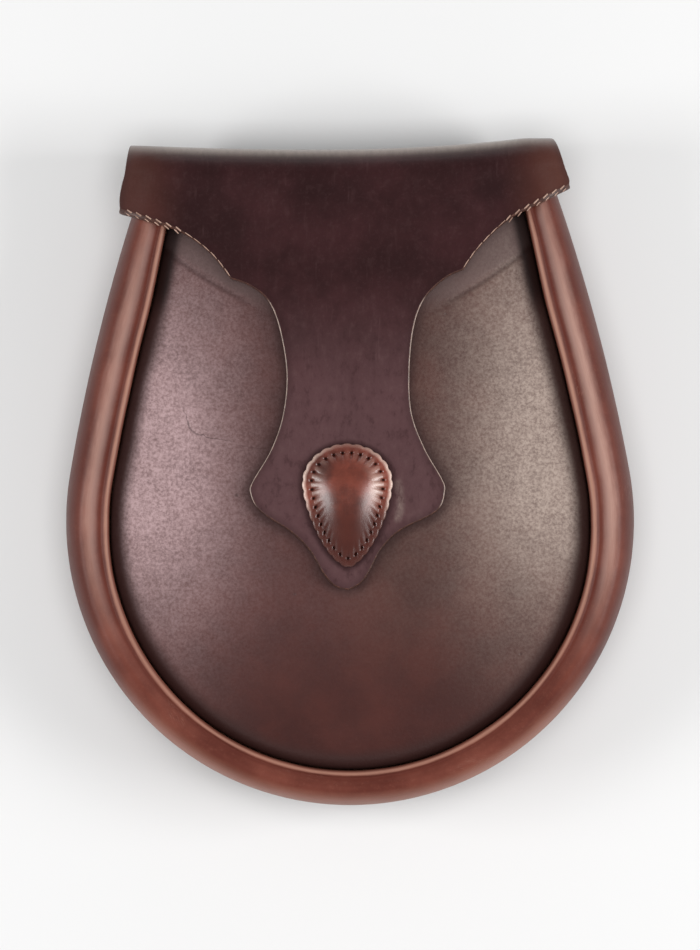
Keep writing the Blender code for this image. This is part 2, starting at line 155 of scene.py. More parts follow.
class Graph:
    """Node tree of one material, which ends in a Principled shader."""

    def __init__(self, name: str) -> None:
        """Makes an empty material with its shader and output.

        Args:
            name: name of the material.
        """
        self.material = bpy.data.materials.new(name)
        self.material.use_nodes = True
        self.tree = self.material.node_tree
        self.shader = self.tree.nodes["Principled BSDF"]

    def node(
        self,
        kind: str,
        settings: Mapping[str, Any] | None = None,
        inputs: Mapping[int | str, Any] | None = None,
        output: int | str = 0,
    ) -> Signal:
        """Adds a node.

        Args:
            kind: type of the node.
            settings: its own settings, set first. "stops" are a ramp's places and colours.
            inputs: value or signal of each socket, by its number or name.
            output: number or name of the output that is wanted.

        Returns:
            The wanted output.
        """
        made = self.tree.nodes.new(kind)
        for name, value in (settings or {}).items():
            if name == "stops":
                ramp = made.color_ramp
                for index, (place, colour) in enumerate(value):
                    stop = ramp.elements[index] if index < 2 else ramp.elements.new(place)
                    stop.position = place
                    stop.color = colour
            else:
                setattr(made, name, value)
        for key, value in (inputs or {}).items():
            self._feed(made.inputs[key], value)
        return Signal(self, made.outputs[output])

    def _feed(self, socket: bpy.types.NodeSocket, value: Any) -> None:
        """Links a signal to a socket, or sets the socket's own value.

        Args:
            socket: socket to set.
            value: signal, number or colour.
        """
        if isinstance(value, Signal):
            self.tree.links.new(value.socket, socket)
        else:
            socket.default_value = value

    def feed(self, **sockets: Any) -> None:
        """Sets or links sockets of the shader, named in lower case with _ for a space.

        Args:
            **sockets: value of each socket.
        """
        for name, value in sockets.items():
            title = name.replace("_", " ").title().replace("Ior", "IOR")
            self._feed(self.shader.inputs[title], value)

    def place(self) -> Signal:
        """Place on the object, in metres."""
        return self.node("ShaderNodeTexCoord", output="Object")

    def mark(self, name: str) -> Signal:
        """Number kept at each point of the mesh."""
        return self.node("ShaderNodeAttribute", {"attribute_name": name}, output="Fac")

    def spot(self, x: Signal | float, y: Signal | float, z: Signal | float = 0.0) -> Signal:
        """Vector from three numbers."""
        return self.node("ShaderNodeCombineXYZ", {}, {0: x, 1: y, 2: z})

    def scaled(self, vector: Signal, by: tuple[float, float, float]) -> Signal:
        """Vector stretched along each axis."""
        return self.node("ShaderNodeVectorMath", {"operation": "MULTIPLY"}, {0: vector, 1: by})

    def noise(self, vector: Signal, size: float, detail: float = 3.0, roughness: float = 0.55) -> Signal:
        """Cloudy noise from 0 to 1, with blots of a size in the vector's unit."""
        inputs = {"Vector": vector, "Scale": 1 / size, "Detail": detail, "Roughness": roughness}
        return self.node("ShaderNodeTexNoise", {}, inputs)

    def cells(self, vector: Signal, size: float, feature: str = "F1") -> Signal:
        """Distance field of cells of a size."""
        inputs = {"Vector": vector, "Scale": 1 / size}
        return self.node("ShaderNodeTexVoronoi", {"feature": feature}, inputs, "Distance")

    def mix(self, share: Signal | float, first: Signal | Colour, second: Signal | Colour) -> Signal:
        """Colour between two colours."""
        settings = {"data_type": "RGBA", "clamp_factor": True}
        return self.node("ShaderNodeMix", settings, {0: share, 6: first, 7: second}, 2)

    def paint(self, body: Signal, *coats: tuple[Signal, Signal | Colour]) -> Signal:
        """Lays coats of colour over one another.

        Args:
            body: colour underneath.
            coats: share and colour of each coat, the lowest first.

        Returns:
            The colour that shows.
        """
        for share, colour in coats:
            body = self.mix(share, body, colour)
        return body

    def bump(self, height: Signal, depth: float, strength: float = 1.0) -> Signal:
        """Normal bent by a height from 0 to 1 that stands for a depth in metres."""
        return self.node("ShaderNodeBump", {}, {"Strength": strength, "Distance": depth, "Height": height})


Surface = tuple[Signal, Signal, Signal | float]


@dataclass(frozen=True)
class Finish:
    """What a piece is finished in. Each kind dresses the shader in its own way."""

    name: str

    def dress(self, graph: Graph, place: Signal) -> None:
        """Feeds the shader."""
        raise NotImplementedError

    def build(self) -> bpy.types.Material:
        """Makes the material of this finish.

        Returns:
            The material.
        """
        graph = Graph(self.name)
        self.dress(graph, graph.place())
        return graph.material


@dataclass(frozen=True)
class Leather(Finish):
    """Waxed leather with a pebbled grain, cloudy dye and paler worn flecks.

    Sizes are in metres. Gloss is the specular level and wax the weight of the clear coat.
    """

    tone: Colour
    shade: Colour
    worn: Colour
    roughness: float = 0.46
    grain_size: float = 0.00062
    grain_depth: float = 0.00010
    cloud_size: float = 0.022
    wear: float = 0.25
    gloss: float = 0.5
    wax: float = 0.15
    wax_roughness: float = 0.35
    grade: Grade = Grade.PEBBLED

    def grain(self, graph: Graph, place: Signal) -> Signal:
        """Height of the grain: uneven pebbles with creases between them, and fine pores.

        Args:
            graph: nodes of the material.
            place: place on the piece.

        Returns:
            The height.
        """
        warp = graph.noise(place, self.grain_size * 5, 2.0)
        shifted = graph.node(
            "ShaderNodeVectorMath",
            {"operation": "MULTIPLY_ADD"},
            {0: graph.spot(warp, warp, warp), 1: (self.grain_size,) * 3, 2: place},
        )
        pebbles = graph.cells(shifted, self.grain_size * 1.5, "SMOOTH_F1")
        pores = graph.noise(place, self.grain_size * 0.55, 2.0, 0.6)
        swell = graph.noise(place, self.grain_size * 7, 2.0)
        return (1 - pebbles) * (0.55 * self.grade.value) + pores * 0.5 + swell * 0.35

    def dye(self, graph: Graph, place: Signal, grain: Signal) -> Signal:
        """Colour of the dye: cloudy, darker in the creases of the grain.

        Args:
            graph: nodes of the material.
            place: place on the piece.
            grain: height of the grain.

        Returns:
            The colour.
        """
        cloud = graph.noise(place, self.cloud_size, 4.0, 0.6).eased(0.30, 0.72)
        dyed = graph.mix(cloud, self.shade, self.tone)
        fleck = graph.noise(place, self.grain_size * 1.6, 3.0, 0.65).eased(0.50, 0.78)
        wear_and_sheen = graph.mix(fleck * self.wear, dyed, self.worn)
        return graph.mix(grain.eased(0.62, 0.36) * 0.35, wear_and_sheen, self.shade)

    def details(self, graph: Graph, colour: Signal, height: Signal) -> Surface:
        """What a special finish adds: its colour, its height and how much rougher it is."""
        return colour, height, 0.0

    def coat(self, graph: Graph) -> Signal | float:
        """Weight of the clear coat of wax."""
        return self.wax

    def dress(self, graph: Graph, place: Signal) -> None:
        """Feeds the shader with the dye, the grain and the wax.

        Args:
            graph: nodes of the material.
            place: place on the piece.
        """
        grain = self.grain(graph, place)
        colour, height, rougher = self.details(graph, self.dye(graph, place, grain), grain)
        patchy = graph.noise(place, self.cloud_size * 0.6, 3.0)
        graph.feed(
            base_color=colour,
            roughness=self.roughness + (patchy - 0.5) * 0.16 + (0.6 - grain) * 0.10 + rougher,
            specular_ior_level=self.gloss,
            coat_weight=self.coat(graph),
            coat_roughness=self.wax_roughness,
            normal=graph.bump(height, self.grain_depth),
        )


@dataclass(frozen=True)
class RimLeather(Leather):
    """Leather of the rolled rim: a painted highlight on its crest, a pale lip that is partly a painted
    highlight, and painted shade between them and outside.

    It reads the marks along_mm, round the outline, across, 0 at the outer edge and 1 at the lip,
    crest, how strong the painted highlight on the crest is, and low, 1 at the foot of the pouch,
    where painted light brightens the outer side.
    """

    # crest is the tone of the painted highlight on the crest; lip is a pale bead, partly a painted highlight
    crest: Colour = (0.4, 0.25, 0.2, 1.0)
    lip: Colour = (0.5, 0.35, 0.25, 1.0)
    wall: Colour = (0.2, 0.08, 0.05, 1.0)

    def details(self, graph: Graph, colour: Signal, height: Signal) -> Surface:
        """Adds the painted highlight on the crest, the lip with streaks along the roll, painted shade in dark
        bands, painted light at the foot, and scratches.

        Args:
            graph: nodes of the material.
            colour: colour of the dye.
            height: height of the grain.

        Returns:
            Colour, height and a change of roughness.
        """
        along, across, crest, low = (graph.mark(name) for name in ("along_mm", "across", "crest", "low"))
        streaks = graph.noise(graph.spot(along * 0.05, across * 7.0), 1.0, 4.0, 0.6)
        fine = graph.noise(graph.spot(along * 0.20, across * 30.0), 1.0, 3.0, 0.6)
        wander = graph.noise(graph.spot(along * 0.035, 0.0), 1.0) - 0.5
        ragged = across + (fine - 0.5) * 0.05 + (streaks - 0.5) * 0.10 + wander * 0.06
        # painted highlight along the crest, as strong as the mark crest says
        wear_and_sheen = ragged.near(0.54, 0.24) * crest * (0.50 + streaks * 0.35 + fine * 0.45)
        # pale burnished lip, brightened further by a painted highlight where the crest's highlight is strong
        lip = (across + (fine - 0.5) * 0.03).near(0.925, 0.085) * (0.50 + fine * 0.4 + crest * 0.25)
        slanting = graph.spot(along * 0.5 + across * 22.0, across * 3.0 - along * 0.09)
        scratch = graph.noise(slanting, 1.0, 2.0).near(0.5, 0.020)
        scratched = scratch * graph.noise(graph.spot(along * 0.03, across), 1.0).eased(0.56, 0.68)
        body = graph.paint(
            colour,
            # painted shade on the outer side of the roll, then painted light on it at the foot
            (ragged.eased(0.34, 0.12) * (0.75 - low * 0.75), self.shade),
            (low * ragged.eased(0.45, 0.04) * 0.75, self.worn),
            (wear_and_sheen, self.crest),
            # painted shade in the band between the crest and the lip
            (ragged.near(0.79, 0.11) * (0.70 - crest * 0.25), self.shade),
            (lip, self.lip),
            (across.eased(0.975, 0.999), self.wall),
            (scratched * 0.30, self.lip),
        )
        return body, height + fine * 0.45 - scratched * 0.5, fine * 0.10 - wear_and_sheen * 0.06


@dataclass(frozen=True)
class PanelLeather(Leather):
    """Leather of the front panel: painted shade along the groove and beside the flap, a painted
    sheen on the flanks, and the flap's old imprint.

    It reads the marks depth_mm from the panel's edge, flap_mm from the flap's edge, wear_and_sheen, 1
    where a painted sheen lies on the flanks, right, 1 on the right half, imprint_mm across the flap's old
    imprint, trace, 1 where it shows, and nick_mm across a short curved scratch.
    """

    # groove is the dark tone of the painted shade in the groove and beside the flap, also used for the
    # imprint, nick and pits
    groove: Colour = (0.02, 0.012, 0.011, 1.0)
    # tones of the painted sheen on the left and right flanks
    painted_sheen: Colour = (0.3, 0.24, 0.23, 1.0)
    painted_sheen_right: Colour = (0.3, 0.25, 0.22, 1.0)
    above: Colour = (0.15, 0.12, 0.11, 1.0)
    # tone of the painted shade under the hem near the mouth
    hem_shade: Colour = tint(24, 16, 16)

    def details(self, graph: Graph, colour: Signal, height: Signal) -> Surface:
        """Adds painted shade along the groove, beside the flap and under the hem, a painted sheen on the
        flanks, the imprint and scratches.

        Args:
            graph: nodes of the material.
            colour: colour of the dye.
            height: height of the grain.

        Returns:
            Colour, height and a change of roughness.
        """
        depth, flap, wear_and_sheen, right = (graph.mark(name) for name in ("depth_mm", "flap_mm", "wear_and_sheen", "right"))
        place = graph.place()
        cloud = graph.noise(place, 0.020, 2.0)
        fine = graph.noise(place, 0.0009, 3.0, 0.75)
        blotch = graph.noise(place, 0.0042, 2.0)
        # speckled painted sheen on the flanks of the dome
        speckle = 0.45 + fine.eased(0.28, 0.72) * 0.62 + (blotch - 0.5) * 0.45 + (cloud - 0.5) * 0.30
        painted_sheen = graph.mix(right, self.painted_sheen, self.painted_sheen_right)
        # painted shadow on the panel beside the flap's edge
        flap_shadow = flap + (fine - 0.5) * 1.5 + (cloud - 0.5) * 3.0
        imprint, trace = graph.mark("imprint_mm"), graph.mark("trace")
        line = (imprint + (fine - 0.5) * 0.5).near(0.0, 1.3) * (0.5 + cloud) * trace
        above = (imprint + (cloud - 0.5) * 2.0).eased(-0.2, 2.5) * trace
        nick = graph.mark("nick_mm").near(0.0, 0.40)
        pits = graph.cells(place, 0.019).eased(0.040, 0.02)
        body = graph.paint(
            colour,
            (wear_and_sheen * speckle, painted_sheen),
            # painted shade along the groove
            ((depth + (cloud - 0.5) * 1.5).eased(6.8, 2.0) * 0.95, self.groove),
            (flap_shadow.eased(3.4, 0.2) * 0.60, self.groove),
            (above * 0.65, self.above),
            (line * 0.55, self.groove),
            # painted shade under the hem near the mouth
            ((depth + (cloud - 0.5)).eased(5.0, 2.6) * trace * 0.75, self.hem_shade),
            (nick * 0.5, self.groove),
            (pits * 0.5, self.groove),
        )
        dull = flap_shadow.eased(5.0, 0.5) * 0.12 - wear_and_sheen * 0.08 + above * 0.08
        return body, height - line - nick * 1.4 - pits * 1.2, dull


@dataclass(frozen=True)
class FlapLeather(Leather):
    """Leather of the flap: burnished along its edges, browner at its ends, with a painted reflection along
    the fold.

    It reads the marks edge_mm, from the cut edge, fold, 1 on top of the fold where a painted reflection
    lies, bend, 1 where it turns, end, 1 at the ends of the fold, tongue, 1 on the tongue, pad_mm,
    from the teardrop, for the painted shadow round it, and glint_mm, from the line of a painted glint.
    """

    # tone of the painted reflection along the fold and of the painted glint by the teardrop
    fold_sheen_tone: Colour = (0.16, 0.11, 0.1, 1.0)
    end_tone: Colour = (0.12, 0.055, 0.04, 1.0)
    # paler tone of the tongue, a painted sheen
    tongue_sheen_tone: Colour = (0.08, 0.05, 0.05, 1.0)

    def details(self, graph: Graph, colour: Signal, height: Signal) -> Surface:
        """Adds the paler tongue, a painted sheen, browner ends, burnished edge, a painted reflection along
        the fold, a painted glint and painted shadow by the teardrop, and faint scratches.

        Args:
            graph: nodes of the material.
            colour: colour of the dye.
            height: height of the grain.

        Returns:
            Colour, height and a change of roughness.
        """
        edge, fold, end, tongue = (graph.mark(name) for name in ("edge_mm", "fold", "end", "tongue"))
        pad, glint = graph.mark("pad_mm"), graph.mark("glint_mm")
        place = graph.place()
        mottle = graph.noise(graph.scaled(place, (1.0, 0.6, 1.0)), 0.0028, 4.0, 0.7)
        long_grain = graph.noise(graph.scaled(place, (1.0, 0.10, 0.3)), 0.0011, 3.0, 0.62)
        scratches = long_grain.eased(0.58, 0.80)
        wide = graph.noise(graph.scaled(place, (1.0, 0.25, 0.5)), 0.012, 3.0)
        body = graph.paint(
            colour,
            # painted sheen on the tongue
            (tongue * (0.55 + wide * 0.45), self.tongue_sheen_tone),
            (scratches * wide.eased(0.30, 0.60) * (0.22 + tongue * 0.45), self.worn),
            (mottle.eased(0.50, 0.75) * (0.10 + tongue * 0.35), self.worn),
            (mottle.eased(0.50, 0.28) * (0.25 + tongue * 0.20), self.shade),
            # painted glint on the tongue beside the teardrop
            (glint.near(0.0, 2.0) * mottle.eased(0.30, 0.70) * 0.26, self.fold_sheen_tone),
            # painted shadow round the teardrop
            ((pad + (mottle - 0.5) * 0.8).eased(2.0, 0.1) * 0.70, self.shade),
            (end * (0.45 + wide * 0.55), self.end_tone),
            (edge.eased(3.0, 0.3) * 0.35, self.shade),
            # painted reflection on top of the fold
            (fold * (0.40 + long_grain * 0.5) * (1 - end * 0.60), self.fold_sheen_tone),
        )
        return body, height + long_grain * 0.30, scratches * 0.05 - tongue * 0.03

    def coat(self, graph: Graph) -> Signal | float:
        """Weight of the wax, which handling has brought up along the fold."""
        return graph.mark("bend") * 0.9


@dataclass(frozen=True)
class PaddedLeather(Leather):
    """Polished leather of the teardrop: painted highlights at its left and right, painted shade in the pucker
    valleys and needle holes.

    It reads the marks hole, 1 in a needle hole, ridge, 1 on a pucker, inward_mm, low, 1 towards
    the point, side, 1 at the left and right of the border where painted highlights lie, and
    flank_sheen, the same on the pad.
    """

    # black of the painted shade in the needle holes
    hole: Colour = (0.012, 0.006, 0.005, 1.0)
    # tone of the painted highlights
    painted_highlight: Colour = (0.35, 0.2, 0.14, 1.0)

    def details(self, graph: Graph, colour: Signal, height: Signal) -> Surface:
        """Adds painted highlights on the border, puckers and flanks, painted shade in the pucker valleys and
        needle holes, and darkening towards the point.

        Args:
            graph: nodes of the material.
            colour: colour of the dye.
            height: height of the grain.

        Returns:
            Colour, height and a change of roughness.
        """
        hole, ridge, inward, side = (graph.mark(name) for name in ("hole", "ridge", "inward_mm", "side"))
        fine = graph.noise(graph.place(), 0.0007, 3.0, 0.65)
        # painted highlights at the left and right: on the border, the pucker ridges and the flanks of the pad
        rim = inward.eased(1.3, 0.1) * (0.45 + fine * 0.6) * side
        flank_sheen = inward.near(4.8, 2.6) * graph.mark("flank_sheen") * (0.5 + fine)
        body = graph.paint(
            colour,
            (rim, self.painted_highlight),
            (ridge.eased(0.1, 0.9) * side * 0.16, self.painted_highlight),
            (flank_sheen * 0.46, self.painted_highlight),
            # painted shade in the pucker valleys, darker towards the point, then painted shade in the needle
            # holes
            (ridge.eased(-0.1, -0.9) * 0.35, self.shade),
            (graph.mark("low") * 0.85, self.shade),
            (hole, self.hole),
        )
        return body, height, hole * 0.3


@dataclass(frozen=True)
class FleshSide(Finish):
    """Rough inner side of leather, napped and unpolished."""

    tone: Colour
    fibre: Colour
    nap_size: float = 0.0005

    def dress(self, graph: Graph, place: Signal) -> None:
        """Feeds the shader of the flesh side.

        Args:
            graph: nodes of the material.
            place: place on the piece.
        """
        nap = graph.noise(place, self.nap_size, 4.0, 0.7)
        cloud = graph.noise(place, self.nap_size * 24, 3.0)
        graph.feed(
            base_color=graph.mix(nap.eased(0.35, 0.75) * 0.6 + cloud * 0.4, self.tone, self.fibre),
            roughness=0.82 + (nap - 0.5) * 0.2,
            specular_ior_level=0.25,
            normal=graph.bump(nap + cloud * 0.4, 0.00014),
        )


@dataclass(frozen=True)
class CutEdge(Finish):
    """Dyed and burnished cut edge of leather, in which the fibres still show."""

    tone: Colour
    fibre: Colour
    layer_size: float = 0.0004

    def dress(self, graph: Graph, place: Signal) -> None:
        """Feeds the shader of the cut edge.

        Args:
            graph: nodes of the material.
            place: place on the piece.
        """
        layers = graph.noise(graph.scaled(place, (0.25, 0.25, 1.0)), self.layer_size, 3.0, 0.6)
        worn = graph.noise(place, self.layer_size * 14, 3.0).eased(0.45, 0.7)
        graph.feed(
            base_color=graph.mix(layers.eased(0.4, 0.75) * 0.45 + worn * 0.4, self.tone, self.fibre),
            roughness=0.5 + (layers - 0.5) * 0.3,
            specular_ior_level=0.45,
            normal=graph.bump(layers, 0.00010),
        )


@dataclass(frozen=True)
class HighlightedEdge(CutEdge):
    """Cut edge with a painted highlight along its upper corner, where the mark lit is 1."""

    # tone of the painted highlight
    pale: Colour = (0.5, 0.4, 0.35, 1.0)

    def dress(self, graph: Graph, place: Signal) -> None:
        """Feeds the shader of the edge with its painted highlight.

        Args:
            graph: nodes of the material.
            place: place on the piece.
        """
        layers = graph.noise(graph.scaled(place, (0.4, 0.4, 1.0)), self.layer_size, 3.0, 0.6)
        nibbled = graph.noise(place, self.layer_size * 4, 2.0)
        # painted highlight along the upper corner, on edges that face sideways
        pale = (graph.mark("wrap") + (nibbled - 0.5) * 0.14).near(0.19, 0.14) * graph.mark("lit")
        body = graph.mix(layers.eased(0.4, 0.75) * 0.5, self.tone, self.fibre)
        graph.feed(
            base_color=graph.mix(pale * (0.55 + nibbled * 0.8), body, self.pale),
            roughness=0.42 + (layers - 0.5) * 0.2,
            specular_ior_level=0.5,
            normal=graph.bump(layers + nibbled, 0.00008),
        )


@dataclass(frozen=True)
class Thread(Finish):
    """Waxed linen thread, with its plies and a little dirt."""

    tone: Colour
    dirt: Colour
    fibre_size: float = 0.00012

    def dress(self, graph: Graph, place: Signal) -> None:
        """Feeds the shader of the thread.

        Args:
            graph: nodes of the material.
            place: place on the piece.
        """
        fibres = graph.noise(place, self.fibre_size, 3.0, 0.6)
        grime = graph.noise(place, 0.006, 3.0).eased(0.40, 0.75)
        graph.feed(
            base_color=graph.mix(grime * 0.6 + fibres * 0.25, self.tone, self.dirt),
            roughness=0.62 + (fibres - 0.5) * 0.3,
            specular_ior_level=0.35,
            normal=graph.bump(fibres, 0.00006),
        )


@dataclass(frozen=True)
class AntiqueBrass(Finish):
    """Brass that has gone brown in its low places."""

    name: str = "antique_brass"
    bright: Colour = tint(196, 160, 96)
    tarnish: Colour = tint(92, 66, 38)

    def dress(self, graph: Graph, place: Signal) -> None:
        """Feeds the shader of the brass.

        Args:
            graph: nodes of the material.
            place: place on the piece.
        """
        spots = graph.noise(place, 0.0016, 4.0, 0.6).eased(0.42, 0.66)
        brushed = graph.noise(graph.scaled(place, (1.0, 0.08, 1.0)), 0.00025, 2.0)
        graph.feed(
            base_color=graph.mix(spots * 0.8, self.bright, self.tarnish),
            metallic=1.0 - spots * 0.2,
            roughness=0.28 + spots * 0.25 + brushed * 0.08,
            normal=graph.bump(brushed, 0.00002),
        )


@dataclass(frozen=True)
class Paper(Finish):
    """Matt pale paper of the floor."""

    name: str = "pale_paper"
    tone: Colour = (0.76, 0.76, 0.76, 1.0)

    def dress(self, graph: Graph, place: Signal) -> None:
        """Feeds the shader of the floor.

        Args:
            graph: nodes of the material.
            place: place on the piece.
        """
        tooth = graph.noise(place, 0.002, 2.0)
        graph.feed(
            base_color=self.tone,
            roughness=0.92,
            specular_ior_level=0.0,
            normal=graph.bump(tooth, 0.00002, 0.3),
        )


@dataclass(frozen=True)
class Stations:
    """Places along the pouch's outline, with what lies inward of each."""

    edge: Floats
    inward: Floats
    stretch: Floats
    reach: Floats
    rim_width: Floats
    mouth_share: Floats
    along: Floats
    bowl_y: float

    def place(self, depth: Floats, z: Floats) -> Floats:
        """Grid of points, a row for each station.

        Args:
            depth: depth of each point, one row for each station.
            z: height of each point, shaped as depth.

        Returns:
            Points shaped (stations, points, 3).
        """
        flat = self.edge[:, None] + self.inward[:, None] * (depth * self.stretch[:, None])[..., None]
        return np.stack([flat[..., 0], flat[..., 1] + self.bowl_y, z], axis=-1)


@dataclass(frozen=True)
class Pattern:
    """Sizes that the pieces share, the same as those of the frame."""

    bowl_radius: float = 0.085
    mouth_half_width: float = 0.0618
    mouth_rise: float = 0.100
    side_start: float = math.radians(10)
    seam_gap: float = 0.0003
    rim_depth: float = 0.038
    rim_width_side: float = 0.0132
    rim_width_bottom: float = 0.0106
    mouth_narrowing: float = 0.0026
    narrowing: Ramp = Ramp(0.55, 0.45)
    rim_crest_share: float = 0.52
    panel_edge_z: float = 0.0325
    panel_crown: float = 0.0055
    shoulder_radius: float = 0.0038
    flange_tail: float = 0.0030
    back_face_z: float = 0.0078
    back_wall: float = 0.0026
    flap_axis_x: float = -0.0007
    fold_rise: float = 0.1109
    flap_length: float = 0.131
    bowl_y: float = -0.0144

    def side_arc(self) -> tuple[float, float, float]:
        """Centre and radius of the right side's long arc.

        Returns:
            Its x, its rise and the radius.
        """
        start = np.array([math.cos(self.side_start), math.sin(self.side_start)])
        chord = np.array([self.mouth_half_width, self.mouth_rise]) - start * self.bowl_radius
        radius = -float(chord @ chord) / (2 * float(chord @ start))
        centre = start * (self.bowl_radius - radius)
        return float(centre[0]), float(centre[1]), radius

    def half_width(self, rise: Floats) -> Floats:
        """Half width of the pouch on the long side arcs, carried on above the mouth."""
        x, y, radius = self.side_arc()
        return x + math.copysign(1.0, radius) * np.sqrt(radius**2 - (rise - y) ** 2)

    def stations(self, count: int) -> Stations:
        """Evenly spaced stations from the left end of the mouth, round the bowl, to the right end.

        Args:
            count: how many.

        Returns:
            The stations.
        """
        x, y, radius = self.side_arc()
        last = math.asin((self.mouth_rise - y) / radius)
        side = abs(radius * (last - self.side_start))
        half_bowl = self.bowl_radius * (math.pi / 2 + self.side_start)
        along = np.linspace(0, 2 * (side + half_bowl), count)
        from_low = np.abs(along - side - half_bowl)
        in_bowl = from_low <= half_bowl
        share = np.clip((from_low - half_bowl) / side, 0, 1)
        in_bowl_angle = from_low / self.bowl_radius - math.pi / 2
        angle = np.where(in_bowl, in_bowl_angle, self.side_start + share * (last - self.side_start))
        normal = np.stack([np.cos(angle), np.sin(angle)], axis=1)
        edge = np.where(in_bowl[:, None], normal * self.bowl_radius, np.array([x, y]) + radius * normal)
        across = np.stack([np.zeros(count), share * self.mouth_rise], axis=1) - edge
        reach = np.linalg.norm(across, axis=1)
        inward = across / reach[:, None]
        stretch = -1 / np.sum(inward * normal, axis=1)
        mirror = np.stack([np.where(along < side + half_bowl, -1.0, 1.0), np.ones(count)], axis=1)
        low = np.where(in_bowl, np.clip(-normal[:, 1], 0, 1), 0)
        width = self.rim_width_side + (self.rim_width_bottom - self.rim_width_side) * low
        width = width - self.mouth_narrowing * self.narrowing.at(share)
        return Stations(edge * mirror, inward * mirror, stretch, reach, width, share, along, self.bowl_y)


def unit(vectors: Floats) -> Floats:
    """Vectors scaled to length 1."""
    return vectors / np.maximum(np.linalg.norm(vectors, axis=-1, keepdims=True), 1e-12)


def grid_normals(grid: Floats) -> Floats:
    """Outward normals of a grid of points, whose rows x columns point out of the leather."""
    normals = np.cross(np.gradient(grid, axis=0), np.gradient(grid, axis=1))
    return unit(normals)


def waves(points: Floats, size: float, seed: int) -> Floats:
    """Slow unevenness from -1 to 1 over places in the plane, as worn leather has.

    Args:
        points: points shaped (..., 3).
        size: length of a wave.
        seed: picks another unevenness.

    Returns:
        Value at each point.
    """
    draw = np.random.default_rng(seed)
    total = np.zeros(points.shape[:-1])
    for _ in range(7):
        angle, phase = draw.uniform(0, 2 * math.pi, 2)
        pitch = size * draw.uniform(0.6, 1.7)
        run = points[..., 0] * math.cos(angle) + points[..., 1] * math.sin(angle)
        total += np.sin(2 * math.pi * run / pitch + phase)
    return total / 4


@dataclass(frozen=True)
class Wave:
    """Slow unevenness of a height and a wavelength, picked by a seed."""

    size: float
    height: float
    seed: int

    def over(self, points: Floats) -> Floats:
        """Its height at some points."""
        return waves(points, self.size, self.seed) * self.height


def lengths_along(line: Floats) -> Floats:
    """Length from the start of a line to each of its points."""
    steps = np.linalg.norm(np.diff(line, axis=0), axis=1)
    return np.concatenate([[0], np.cumsum(steps)])


def facing_back(count: int) -> Floats:
    """Normals out of the back of the pouch, for so many points."""
    return np.tile([0.0, 0.0, -1.0], (count, 1))


def distance_to_line(points: Floats, line: Floats) -> Floats:
    """Signed distance in the plane to a line, positive to its left, and far off past its ends.

    Args:
        points: points shaped (..., 2 or 3).
        line: corners of the line, shaped (n, 2).

    Returns:
        Distance from each point.
    """
    flat = points[..., :2]
    best = np.full(flat.shape[:-1], 9.0)
    sign = np.ones(flat.shape[:-1])
    for first, second in zip(line, line[1:]):
        step = second - first
        away = flat - first
        share = np.clip((away @ step) / (step @ step), 0, 1)
        distance = np.linalg.norm(away - share[..., None] * step, axis=-1)
        left = step[0] * away[..., 1] - step[1] * away[..., 0]
        nearer = distance < best
        sign = np.where(nearer, np.sign(left), sign)
        best = np.minimum(best, distance)
    return best * sign


